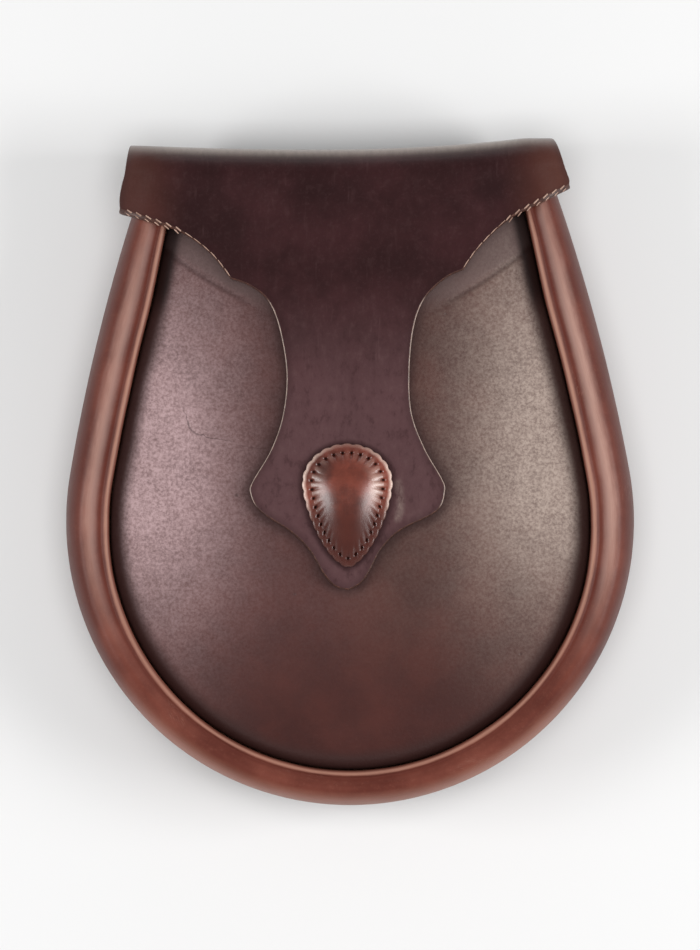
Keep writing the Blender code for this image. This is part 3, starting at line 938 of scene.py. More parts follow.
@dataclass
class Cut:
    """A cut of leather: a grid of points on its grain side, a wall and a rounded cut edge.

    The grid is drawn in by edge_reach, one length or one for each point, and the rounded edge
    brings it back to its true outline. With seam, the last column is sewn to itself inside the
    piece and has no edge. The mark wrap runs from 0 on the grain side to 1 on the flesh side.
    """

    grid: Floats
    wall: float
    edge_reach: float | Floats = 0.0004
    edge_steps: int = 10
    seam: bool = False
    marks: dict[str, Floats] = field(default_factory=dict)

    def _border(self) -> Floats:
        """Numbers of the grid's border points, in order round the leather.

        Returns:
            The numbers.
        """
        rows, columns = self.grid.shape[:2]
        number = np.arange(rows * columns).reshape(rows, columns)
        path = [number[-1, ::-1], number[-2:0:-1, 0], number[0, :]]
        if not self.seam:
            path.append(number[1:-1, -1])
        return np.concatenate(path)

    def mesh(self, name: str) -> bpy.types.Mesh:
        """Closed mesh of the leather, its faces marked by side.

        Args:
            name: name of the mesh.

        Returns:
            The mesh.
        """
        rows, columns = self.grid.shape[:2]
        normals = grid_normals(self.grid)
        if self.seam:
            normals[:, -1] = normals[:, -2]
        outer = self.grid.reshape(-1, 3)
        normal = normals.reshape(-1, 3)
        inner = outer - self.wall * normal
        border = self._border()
        run = np.roll(outer[border], -1, axis=0) - np.roll(outer[border], 1, axis=0)
        if self.seam:
            run[0], run[-1] = run[1], run[-2]
        out = unit(np.cross(normal[border], run))
        points = [outer, inner]
        middle = (outer[border] + inner[border]) / 2
        reach = np.broadcast_to(self.edge_reach, (rows, columns)).reshape(-1, 1)[border]
        for step in range(1, self.edge_steps):
            turn = math.pi * step / self.edge_steps
            up = math.copysign(abs(math.cos(turn)) ** 0.7, math.cos(turn)) * self.wall / 2
            points.append(middle + up * normal[border] + reach * math.sin(turn) ** 0.7 * out)
        count = rows * columns
        number = np.arange(count).reshape(rows, columns)
        a, b, c, d = (n.ravel() for n in (number[:-1, :-1], number[1:, :-1], number[1:, 1:], number[:-1, 1:]))
        faces = [np.stack([a, b, c, d], axis=1), np.stack([d, c, b, a], axis=1) + count]
        rings = [border]
        rings += [2 * count + len(border) * k + np.arange(len(border)) for k in range(self.edge_steps - 1)]
        rings.append(border + count)
        for near, far in zip(rings, rings[1:]):
            faces.append(np.stack([near, np.roll(near, -1), np.roll(far, -1), far], axis=1))
        sides = [Face.GRAIN.value] * len(faces[0]) + [Face.FLESH.value] * len(faces[1])
        sides += [Face.CUT_EDGE.value] * (len(border) * self.edge_steps)
        made = bpy.data.meshes.new(name)
        made.from_pydata(np.concatenate(points).tolist(), [], np.concatenate(faces).tolist())
        made.polygons.foreach_set("material_index", sides)
        rounds = np.arange(1, self.edge_steps) / self.edge_steps
        wrap = np.concatenate([np.zeros(count), np.ones(count), np.repeat(rounds, len(border))])
        made.attributes.new("wrap", "FLOAT", "POINT").data.foreach_set("value", wrap)
        for mark, values in self.marks.items():
            flat = np.asarray(values, float).reshape(-1)
            every = np.concatenate([flat, flat] + [flat[border]] * (self.edge_steps - 1))
            made.attributes.new(mark, "FLOAT", "POINT").data.foreach_set("value", every)
        self._weld(made)
        return made

    @staticmethod
    def _weld(mesh: bpy.types.Mesh) -> None:
        """Joins points that lie on each other and turns every face outwards.

        Args:
            mesh: mesh to mend.
        """
        maker = bmesh.new()
        maker.from_mesh(mesh)
        bmesh.ops.remove_doubles(maker, verts=maker.verts, dist=1e-6)
        bmesh.ops.recalc_face_normals(maker, faces=maker.faces)
        maker.to_mesh(mesh)
        maker.free()


class Workbench:
    """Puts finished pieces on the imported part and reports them."""

    def __init__(self) -> None:
        """Starts with no materials made."""
        self._made: dict[str, bpy.types.Material] = {}

    def finish(self, style: Finish) -> bpy.types.Material:
        """Material of a finish, made once.

        Args:
            style: finish that is needed.

        Returns:
            The material.
        """
        if style.name not in self._made:
            self._made[style.name] = style.build()
        return self._made[style.name]

    def add(
        self,
        name: str,
        mesh: bpy.types.Mesh,
        styles: Iterable[Finish],
        slot: str,
        nodes: Iterable[str] = (),
    ) -> bpy.types.Object:
        """Adds a piece.

        Args:
            name: the piece's name.
            mesh: its mesh.
            styles: its finishes, in the order of its material slots.
            slot: the record's material slot that it takes its finish from; not used.
            nodes: nodes of the frame that it stands for.

        Returns:
            The piece, riding on the part.
        """
        for style in styles:
            mesh.materials.append(self.finish(style))
        mesh.shade_smooth()
        piece = bpy.data.objects.new(name, mesh)
        bpy.context.scene.collection.objects.link(piece)
        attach(piece, "root")
        if nodes:
            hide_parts(*nodes)
        log.info("%s: %d faces", name, len(mesh.polygons))
        return piece


@dataclass(frozen=True)
class StitchRow:
    """Row of stitches of two-ply thread that dive into the leather at both ends."""

    pitch: float = 0.0032
    length: float = 0.0025
    radius: float = 0.00034
    proud: float = 0.00020
    slant: float = 0.0
    sink: float = 1.6
    turns: float = 0.55
    ply: float = 0.16
    sides: int = 10
    rings: int = 11

    def mesh(
        self,
        name: str,
        line: Floats,
        normals: Floats,
        skip: tuple[float, float] = (0, 0),
        lean: int = 1,
    ) -> bpy.types.Mesh:
        """Stitches laid along a line.

        Args:
            name: name of the mesh.
            line: points of the line on the leather, shaped (n, 3).
            normals: outward normals there.
            skip: lengths left bare at the start and at the end.
            lean: 1 or -1, the side to which the stitches slant.

        Returns:
            One mesh with all the stitches.
        """
        run = lengths_along(line)
        count = int((run[-1] - skip[0] - skip[1]) // self.pitch)
        start = skip[0] + (run[-1] - skip[0] - skip[1] - count * self.pitch) / 2
        points, faces = [], []
        for index in range(count):
            middle = start + (index + 0.5) * self.pitch
            self._stitch(points, faces, line, normals, run, middle, lean)
        made = bpy.data.meshes.new(name)
        made.from_pydata(np.concatenate(points).tolist(), [], faces)
        return made

    def _stitch(
        self,
        points: list[Floats],
        faces: list[tuple[int, ...]],
        line: Floats,
        normals: Floats,
        run: Floats,
        middle: float,
        lean: int,
    ) -> None:
        """Adds the points and faces of one stitch, centred at a length along the line.

        Args:
            points: points, added to.
            faces: faces, added to.
            line: points of the seam.
            normals: normal at each of them.
            run: length up to each of them.
            middle: length up to the stitch.
            lean: its slant, in radians.
        """
        share = np.linspace(-1, 1, self.rings)
        at = middle + share * self.length / 2
        core = np.stack([np.interp(at, run, line[:, k]) for k in range(3)], axis=1)
        up = unit(np.stack([np.interp(at, run, normals[:, k]) for k in range(3)], axis=1))
        ahead = unit(np.gradient(core, axis=0))
        side = unit(np.cross(up, ahead))
        up = np.cross(ahead, side)
        core = core + side * (share * self.slant * lean)[:, None]
        core = core + up * (self.proud - (self.proud + self.sink * self.radius) * np.abs(share) ** 5)[:, None]
        turn = np.linspace(0, 2 * math.pi, self.sides, endpoint=False)
        twist = share[:, None] * self.length / self.radius * self.turns
        thick = self.radius * (1 + self.ply * np.cos(2 * (turn[None, :] + twist)))
        thick = thick * np.sqrt(np.clip(1 - np.abs(share) ** 8, 0.04, 1))[:, None]
        ring = core[:, None] + thick[..., None] * (
            np.cos(turn)[None, :, None] * side[:, None] + np.sin(turn)[None, :, None] * up[:, None]
        )
        first = sum(len(p) for p in points)
        points.append(ring.reshape(-1, 3))
        for i in range(self.rings - 1):
            for j in range(self.sides):
                k = (j + 1) % self.sides
                low, high = first + i * self.sides, first + (i + 1) * self.sides
                faces.append((low + j, low + k, high + k, high + j))
        faces.append(tuple(first + j for j in reversed(range(self.sides))))
        faces.append(tuple(first + (self.rings - 1) * self.sides + j for j in range(self.sides)))


BACK_ROW = StitchRow(pitch=0.0036, length=0.0028)
LOOP_ROW = StitchRow(pitch=0.0031, length=0.0024)
FLESH = FleshSide("flesh_side", tint(96, 62, 44), tint(150, 112, 84))
DARK_EDGE = CutEdge("dark_cut_edge", tint(48, 30, 27), tint(104, 74, 58))
# the flap's cut edge carries a painted highlight
FLAP_EDGE = HighlightedEdge("flap_cut_edge", tint(60, 35, 29), tint(112, 70, 54), pale=tint(206, 184, 172))
PALE_EDGE = CutEdge("rubbed_cut_edge", tint(118, 82, 62), tint(196, 160, 132))
PALE_THREAD = Thread("pale_thread", tint(186, 154, 138), tint(104, 72, 60))
DARK_THREAD = Thread("dark_thread", tint(74, 50, 40), tint(38, 26, 22))
RIM_LEATHER = RimLeather(
    "rim_leather_finish",
    tone=tint(114, 60, 48),
    shade=tint(84, 37, 28),
    # worn also tints the painted light at the foot of the rim
    worn=tint(160, 104, 85),
    roughness=0.46,
    grain_size=0.0005,
    grain_depth=0.00005,
    gloss=0.25,
    wax=0.05,
    wear=0.12,
    grade=Grade.FINE,
    # crest is a painted highlight; lip is a pale bead, partly a painted highlight
    crest=tint(174, 137, 125),
    lip=tint(166, 122, 105),
    wall=tint(124, 74, 60),
)
PANEL_LEATHER = PanelLeather(
    "panel_leather_finish",
    tone=tint(72, 35, 30),
    shade=tint(58, 28, 25),
    worn=tint(88, 54, 49),
    roughness=0.50,
    grain_size=0.00060,
    grain_depth=0.00012,
    wear=0.12,
    gloss=0.35,
    wax=0.05,
    # groove is the tone of the painted shade in the groove and beside the flap
    groove=tint(52, 32, 30),
    # tones of the painted sheen on the left and right flanks
    painted_sheen=tint(174, 147, 148),
    painted_sheen_right=tint(166, 149, 139),
    above=tint(98, 80, 78),
)
FLAP_LEATHER = FlapLeather(
    "flap_leather_finish",
    tone=tint(54, 28, 30),
    shade=tint(38, 18, 19),
    worn=tint(92, 68, 68),
    roughness=0.52,
    grain_size=0.00060,
    grain_depth=0.00008,
    wear=0.12,
    gloss=0.15,
    wax=0.0,
    # painted reflection of the fold, browner ends, painted sheen of the tongue
    fold_sheen_tone=tint(176, 160, 148),
    end_tone=tint(88, 50, 40),
    tongue_sheen_tone=tint(88, 62, 64),
)
BACK_LEATHER = Leather(
    "back_leather_finish",
    tone=tint(78, 48, 39),
    shade=tint(56, 33, 27),
    worn=tint(112, 78, 64),
    roughness=0.58,
    gloss=0.35,
    wax=0.05,
)
TEARDROP_LEATHER = PaddedLeather(
    "teardrop_leather_finish",
    tone=tint(134, 64, 48),
    shade=tint(66, 25, 17),
    worn=tint(158, 98, 78),
    roughness=0.34,
    grain_size=0.00045,
    grain_depth=0.00005,
    cloud_size=0.016,
    wear=0.12,
    gloss=0.4,
    wax=0.7,
    wax_roughness=0.27,
    grade=Grade.FINE,
    # black of the painted shade in the needle holes, and the tone of the painted highlights
    hole=tint(20, 10, 8),
    painted_highlight=tint(232, 204, 190),
)


@dataclass
class RolledRim:
    """Gusset of the pouch: one strip of leather rolled round both sides and the bottom."""

    pattern: Pattern
    wall: float = 0.0020
    lip_radius: float = 0.0012
    lip_drop: float = 0.0006
    valley_drop: float = 0.00125
    valley_place: float = 0.80
    squareness: float = 2.5
    corner_radius: float = 0.0024
    uneven: tuple[Wave, ...] = (Wave(0.034, 0.00016, 3), Wave(0.011, 0.00005, 4))
    front: Ramp = Ramp(0.026, 0.008)
    # strength of the painted highlight on the crest: along the sides, less near the mouth, brighter on the
    # right
    crest_sheen_sides: Ramp = Ramp(-0.052, 0.060)
    crest_sheen_less: Ramp = Ramp(0.055, 0.040)
    crest_sheen_left: float = 0.70
    crest_sheen_right: float = 0.95
    # painted light on the rim's outer side at the foot, fading towards the back
    foot: Ramp = Ramp(-0.040, -0.030)
    foot_light_height: Ramp = Ramp(0.010, 0.016)
    stations: int = 520
    roll_steps: int = 22

    def _profile(self, width: Floats) -> tuple[Floats, Floats]:
        """Depth and height round the C section, from its back flange to the front one.

        Args:
            width: width of the rim at each station.

        Returns:
            Depths and heights, one row for each station.
        """
        pattern = self.pattern
        middle = pattern.rim_depth / 2
        width = width[:, None]
        crest = pattern.rim_crest_share * width
        turn = np.linspace(-math.pi / 2, math.pi / 2, 2 * self.roll_steps + 1)
        out = np.abs(np.cos(turn)) ** (2 / self.squareness)
        up = np.sign(turn) * np.abs(np.sin(turn)) ** (2 / self.squareness)
        roll = crest * (1 - out), np.broadcast_to(middle + middle * up, (len(width), len(turn)))
        radius = self.corner_radius
        corner = np.linspace(0, -math.pi / 2, 7)
        back = width - radius + radius * np.cos(corner), radius + radius * np.sin(corner) + 0 * width
        tail_z = np.linspace(pattern.back_face_z + pattern.back_wall + pattern.flange_tail, radius, 5)[:-1]
        tail = np.broadcast_to(width, (len(width), 4)), tail_z + 0 * width
        floor = crest + (width - radius - crest) * np.array([0.8, 0.5, 0.2]), np.zeros((len(width), 3))
        valley = self.valley_place * width
        lip = width - self.lip_radius
        lip_top = pattern.rim_depth - self.lip_drop
        fall = np.linspace(0, 1, 11)[1:]
        slope_z = pattern.rim_depth - self.valley_drop * smooth_step(fall) + 0 * width
        slope = crest + (valley - crest) * fall, slope_z
        rise = np.linspace(0, 1, 7)[1:-1]
        climb = valley + (lip - valley) * rise
        valley_z = pattern.rim_depth - self.valley_drop
        climb_z = valley_z + (lip_top - valley_z) * smooth_step(rise) + 0 * width
        bead = np.linspace(math.pi / 2, 0, 10)
        bead_d = lip + self.lip_radius * np.cos(bead)
        bead_z = lip_top - self.lip_radius + self.lip_radius * np.sin(bead) + 0 * width
        foot_z = pattern.panel_edge_z - pattern.shoulder_radius - pattern.flange_tail
        down = np.linspace(lip_top - self.lip_radius, foot_z, 9)[1:] + 0 * width
        skirt = np.broadcast_to(width, down.shape), down
        parts = (tail, back, floor, roll, slope, (climb, climb_z), (bead_d, bead_z), skirt)
        depths, heights = zip(*parts)
        return np.concatenate(depths, axis=1), np.concatenate(heights, axis=1)

    def build(self, bench: Workbench) -> None:
        """Makes the rim and dresses it.

        Args:
            bench: takes the finished pieces.
        """
        line = self.pattern.stations(self.stations)
        depth, z = self._profile(line.rim_width)
        grid = line.place(depth, z)
        uneven = sum(wave.over(grid) for wave in self.uneven)
        grid = grid + grid_normals(grid) * (uneven * self.front.at(z))[..., None]
        rise = line.edge[:, 1]
        # crest: strength of the painted highlight on the crest at each station
        crest = self.crest_sheen_sides.at(rise) * (1 - 0.45 * self.crest_sheen_less.at(rise))
        crest = crest * np.where(line.edge[:, 0] > 0, self.crest_sheen_right, self.crest_sheen_left)
        marks = {
            "across": np.where(z > self.pattern.rim_depth / 2, depth / line.rim_width[:, None], 0.0),
            "along_mm": np.broadcast_to(line.along[:, None] / MM, depth.shape),
            "crest": np.broadcast_to(crest[:, None], depth.shape),
            # low: where painted light brightens the outer side at the foot
            "low": self.foot.at(rise)[:, None] * self.foot_light_height.at(z),
        }
        cut = Cut(grid, self.wall, edge_reach=0.0002, marks=marks)
        styles = (RIM_LEATHER, PALE_EDGE, FLESH)
        bench.add("rolled_rim", cut.mesh("rolled_rim"), styles, "rim_leather", ["gusset"])


@dataclass
class FrontPanel:
    """Moulded front of the pouch, sunk into the rim, with marks of wear and painted sheen and shade on it."""

    pattern: Pattern
    flap_line: Floats
    wall: float = 0.0022
    mouth_flattening: float = 0.45
    stations: int = 540
    shoulder_steps: int = 10
    dome_steps: int = 56
    crowding: float = 1.12
    uneven: tuple[Wave, ...] = (Wave(0.050, 0.00022, 11), Wave(0.017, 0.00004, 12))
    free: Ramp = Ramp(0.0, 0.010)
    imprint: Places = ((-56.0, 82.0), (-51.8, 79.0), (-42.0, 72.3), (-30.6, 65.6))
    imprint_right_shift: tuple[float, float] = (-1.4, -1.2)
    imprint_width: float = 0.0011
    imprint_depth: float = 0.00013
    imprint_rise: Ramp = Ramp(0.058, 0.006)
    trace_rise: Ramp = Ramp(0.060, 0.010)
    nick: Places = ((-48.2, 30.2), (-47.6, 28.2), (-46.2, 26.6), (-43.8, 26.0))
    # where the painted sheen lies: on the flanks, fading to the foot, with a faint floor and uneven patches
    flank_sheen: Ramp = Ramp(0.012, 0.046)
    sheen_foot: Ramp = Ramp(-0.060, 0.060)
    sheen_floor: float = 0.11
    sheen_patches: Wave = Wave(0.040, 0.05, 31)
    sides_blend: float = 0.030

    def _line(self, places: Places) -> Floats:
        """Line on the panel from places given in millimetres across and of rise."""
        return np.array(places) * MM + np.array([0, self.pattern.bowl_y])

    def _sheen_share(self, grid: Floats) -> Floats:
        """Share from 0 to 1 of painted sheen: strongest on the flanks of the dome, fading to its foot.

        Args:
            grid: points of the leather.

        Returns:
            Share from 0 to 1 at each point.
        """
        x, rise = np.abs(grid[..., 0]), grid[..., 1] - self.pattern.bowl_y
        flank_sheen = self.flank_sheen.at(x) ** 1.75
        right = grid[..., 0] > 0
        middle, up, down = np.where(right, 0.020, 0.016), np.where(right, 0.062, 0.056), 0.044
        away = (rise - middle) / np.where(rise > middle, up, down)
        floor = self.sheen_floor * self.sheen_foot.at(rise)
        patches = self.sheen_patches.over(grid) * flank_sheen
        return np.clip(floor + flank_sheen * np.exp(-(away**2)) + patches, 0, 1)

    def build(self, bench: Workbench) -> None:
        """Makes the panel and dresses it.

        Args:
            bench: takes the finished pieces.
        """
        pattern = self.pattern
        line = pattern.stations(self.stations)
        edge = (line.rim_width + pattern.seam_gap)[:, None]
        radius = pattern.shoulder_radius
        groove_z = pattern.panel_edge_z - radius
        skirt = np.linspace(-pattern.flange_tail, 0, 4)[:-1]
        turn = np.linspace(math.pi, math.pi / 2, self.shoulder_steps + 1)
        share = np.linspace(0, 1, self.dome_steps + 1)[1:] ** self.crowding
        first = edge + radius
        last = (line.reach / line.stretch)[:, None]
        crown = pattern.panel_crown * (1 - self.mouth_flattening * line.mouth_share**2)[:, None]
        parts = (
            (edge + 0 * skirt, groove_z + skirt + 0 * edge),
            (edge + radius + radius * np.cos(turn), groove_z + radius * np.sin(turn) + 0 * edge),
            (first + share * (last - first), pattern.panel_edge_z + crown * (1 - (1 - share) ** 2)),
        )
        depth, z = (np.concatenate(part, axis=1) for part in zip(*parts))
        grid = line.place(depth, z)
        uneven = sum(wave.over(grid) for wave in self.uneven)
        grid[..., 2] += uneven * self.free.at(depth - edge - radius)
        imprint = distance_to_line(grid, self._line(self.imprint))
        right, up = self.imprint_right_shift
        mirrored = [(-x + right, y + up) for x, y in reversed(self.imprint)]
        other = distance_to_line(grid, self._line(tuple(mirrored)))
        imprint = np.where(np.abs(other) < np.abs(imprint), other, imprint)
        rise = grid[..., 1] - pattern.bowl_y
        grid[..., 2] -= self.imprint_depth * (bell(imprint, self.imprint_width) * self.imprint_rise.at(rise))
        marks = {
            "depth_mm": (depth - edge) / MM,
            "imprint_mm": imprint / MM,
            "trace": self.trace_rise.at(rise),
            "nick_mm": distance_to_line(grid, self._line(self.nick)) / MM,
            # distance from the flap's edge, for the painted shadow beside it
            "flap_mm": np.abs(distance_to_line(grid, self.flap_line)) / MM,
            # painted sheen on the flanks
            "wear_and_sheen": self._sheen_share(grid),
            "right": smooth_step(grid[..., 0] / self.sides_blend + 0.5),
        }
        cut = Cut(grid, self.wall, edge_reach=0.0002, seam=True, marks=marks)
        styles = (PANEL_LEATHER, DARK_EDGE, FLESH)
        mesh = cut.mesh("front_panel_leather")
        bench.add("front_panel_leather", mesh, styles, "panel_leather", ["front_panel"])


@dataclass
class BackPanel:
    """Flat back between the flanges of the rim, with a row of stitches near its edge."""

    pattern: Pattern
    edge_reach: float = 0.0004
    stitch_inset: float = 0.0034
    bare_ends: tuple[float, float] = (0.034, 0.034)
    stations: int = 260

    def build(self, bench: Workbench) -> None:
        """Makes the panel and its stitches.

        Args:
            bench: takes the finished pieces.
        """
        pattern = self.pattern
        line = pattern.stations(self.stations)
        edge = (line.rim_width + pattern.seam_gap + self.edge_reach)[:, None]
        last = (line.reach / line.stretch)[:, None]
        share = np.linspace(0, 1, 36)
        depth = edge + share * (last - edge)
        flat = np.full(depth.shape, pattern.back_face_z)
        grid = line.place(depth, flat)[::-1].copy()
        top = grid[..., 1].max()
        grid[..., 1] = np.minimum(grid[..., 1], top - self.edge_reach * (np.abs(grid[..., 1] - top) < 1e-6))
        cut = Cut(grid, pattern.back_wall, self.edge_reach, seam=True)
        styles = (BACK_LEATHER, DARK_EDGE, FLESH)
        mesh = cut.mesh("back_panel_leather")
        bench.add("back_panel_leather", mesh, styles, "back_leather", ["back_panel"])
        seam = line.place(edge + self.stitch_inset, np.full(edge.shape, pattern.back_face_z))[:, 0]
        mesh = BACK_ROW.mesh("back_stitches", seam, facing_back(len(seam)), self.bare_ends)
        bench.add("back_stitches", mesh, (DARK_THREAD,), "back_leather")


@dataclass
class StrapLoop:
    """Leather loop on the back for the waist strap, sewn down at both ends."""

    name: str
    centre_x: float
    pattern: Pattern
    wall: float = 0.0022
    width: float = 0.020
    top_rise: float = 0.076
    sewn_end: float = 0.007
    ramp: float = 0.005
    passage_height: float = 0.034
    edge_reach: float = 0.0005
    top_seam: float = 0.0034
    foot_seam: float = 0.0036
    side_inset: float = 0.0022

    def build(self, bench: Workbench) -> None:
        """Makes the loop and the stitches at its ends.

        Args:
            bench: takes the finished pieces.
        """
        sewn_z = self.pattern.back_face_z - self.pattern.seam_gap - self.wall
        high = self.top_rise - self.sewn_end - self.ramp
        low = high - self.passage_height
        foot = low - self.ramp - self.sewn_end
        rise = np.linspace(foot + self.edge_reach, self.top_rise - self.edge_reach, 90)
        bent = smooth_step((low - rise) / self.ramp) + smooth_step((rise - high) / self.ramp)
        z = sewn_z * bent
        across = np.linspace(-1, 1, 15) * (self.width / 2 - self.edge_reach) + self.centre_x
        x, y = np.meshgrid(across, rise + self.pattern.bowl_y)
        grid = np.stack([x, y, np.broadcast_to(z[:, None], x.shape)], axis=-1)
        leather = self.name + "_leather"
        mesh = Cut(grid, self.wall, self.edge_reach).mesh(leather)
        bench.add(leather, mesh, (BACK_LEATHER, DARK_EDGE, FLESH), "back_leather", [self.name])
        ends = self.centre_x + np.array([-1, 1]) * (self.width / 2 - self.side_inset)
        seams = ("top", self.top_rise - self.top_seam), ("foot", low - self.ramp - self.foot_seam)
        for part, middle in seams:
            y = middle + self.pattern.bowl_y
            line = np.array([[x, y, sewn_z] for x in np.linspace(*ends, 12)])
            title = f"{self.name}_{part}_stitches"
            stitches = LOOP_ROW.mesh(title, line, facing_back(len(line)))
            bench.add(title, stitches, (DARK_THREAD,), "back_leather")


@dataclass(frozen=True)
class EdgeRow:
    """Place on the flap's cut edge, left and right.

    Across is a share of the flap's half width, and down a share of its length from the fold.
    """

    place: str
    left_across: float
    left_down: float
    right_across: float
    right_down: float

    def numbers(self) -> tuple[float, float, float, float]:
        """The four shares."""
        return self.left_across, self.left_down, self.right_across, self.right_down


CUSP = EdgeRow("cusp", 0.510, 0.294, 0.523, 0.278)
HEM_ROWS = (
    EdgeRow("corner", 1.004, 0.143, 1.000, 0.096),
    EdgeRow("hem over the rim", 0.872, 0.162, 0.872, 0.127),
    EdgeRow("hem over the groove", 0.720, 0.190, 0.720, 0.168),
    EdgeRow("hem over the panel", 0.600, 0.236, 0.600, 0.225),
    CUSP,
)
TONGUE_ROWS = (
    CUSP,
    EdgeRow("notch", 0.427, 0.310, 0.443, 0.297),
    EdgeRow("shoulder", 0.345, 0.345, 0.350, 0.343),
    EdgeRow("upper neck", 0.296, 0.409, 0.301, 0.409),
    EdgeRow("neck", 0.267, 0.510, 0.281, 0.510),
    EdgeRow("lower neck", 0.286, 0.605, 0.290, 0.603),
    EdgeRow("flare", 0.340, 0.683, 0.347, 0.683),
    EdgeRow("top of the lobe", 0.420, 0.752, 0.420, 0.750),
    EdgeRow("lobe", 0.433, 0.780, 0.434, 0.780),
    EdgeRow("foot of the lobe", 0.389, 0.822, 0.395, 0.826),
    EdgeRow("upper chin", 0.250, 0.871, 0.235, 0.868),
    EdgeRow("chin", 0.170, 0.913, 0.150, 0.910),
    EdgeRow("lower chin", 0.108, 0.967, 0.090, 0.965),
    EdgeRow("side of the tip", 0.059, 0.994, 0.050, 0.990),
    EdgeRow("tip", 0.000, 1.003, 0.000, 1.003),
)
SIDE_SHARES = ((0.0, 0.985), (0.35, 0.997), (0.70, 1.003), (1.0, 1.0))


def eased_through(rows: Floats, steps: int) -> Floats:
    """Rows of numbers on a smooth curve through the given rows, in so many steps each.

    Args:
        rows: rows to pass through.
        steps: rows made for each.

    Returns:
        The rows, the last one too.
    """
    made = []
    for i in range(len(rows) - 1):
        a, b = rows[max(i - 1, 0)], rows[i]
        c, d = rows[i + 1], rows[min(i + 2, len(rows) - 1)]
        for t in np.arange(steps) / steps:
            made.append(
                a * (-0.5 * t + t * t - 0.5 * t**3)
                + b * (1 - 2.5 * t * t + 1.5 * t**3)
                + c * (0.5 * t + 2 * t * t - 1.5 * t**3)
                + d * (-0.5 * t * t + 0.5 * t**3)
            )
    return np.array(made)


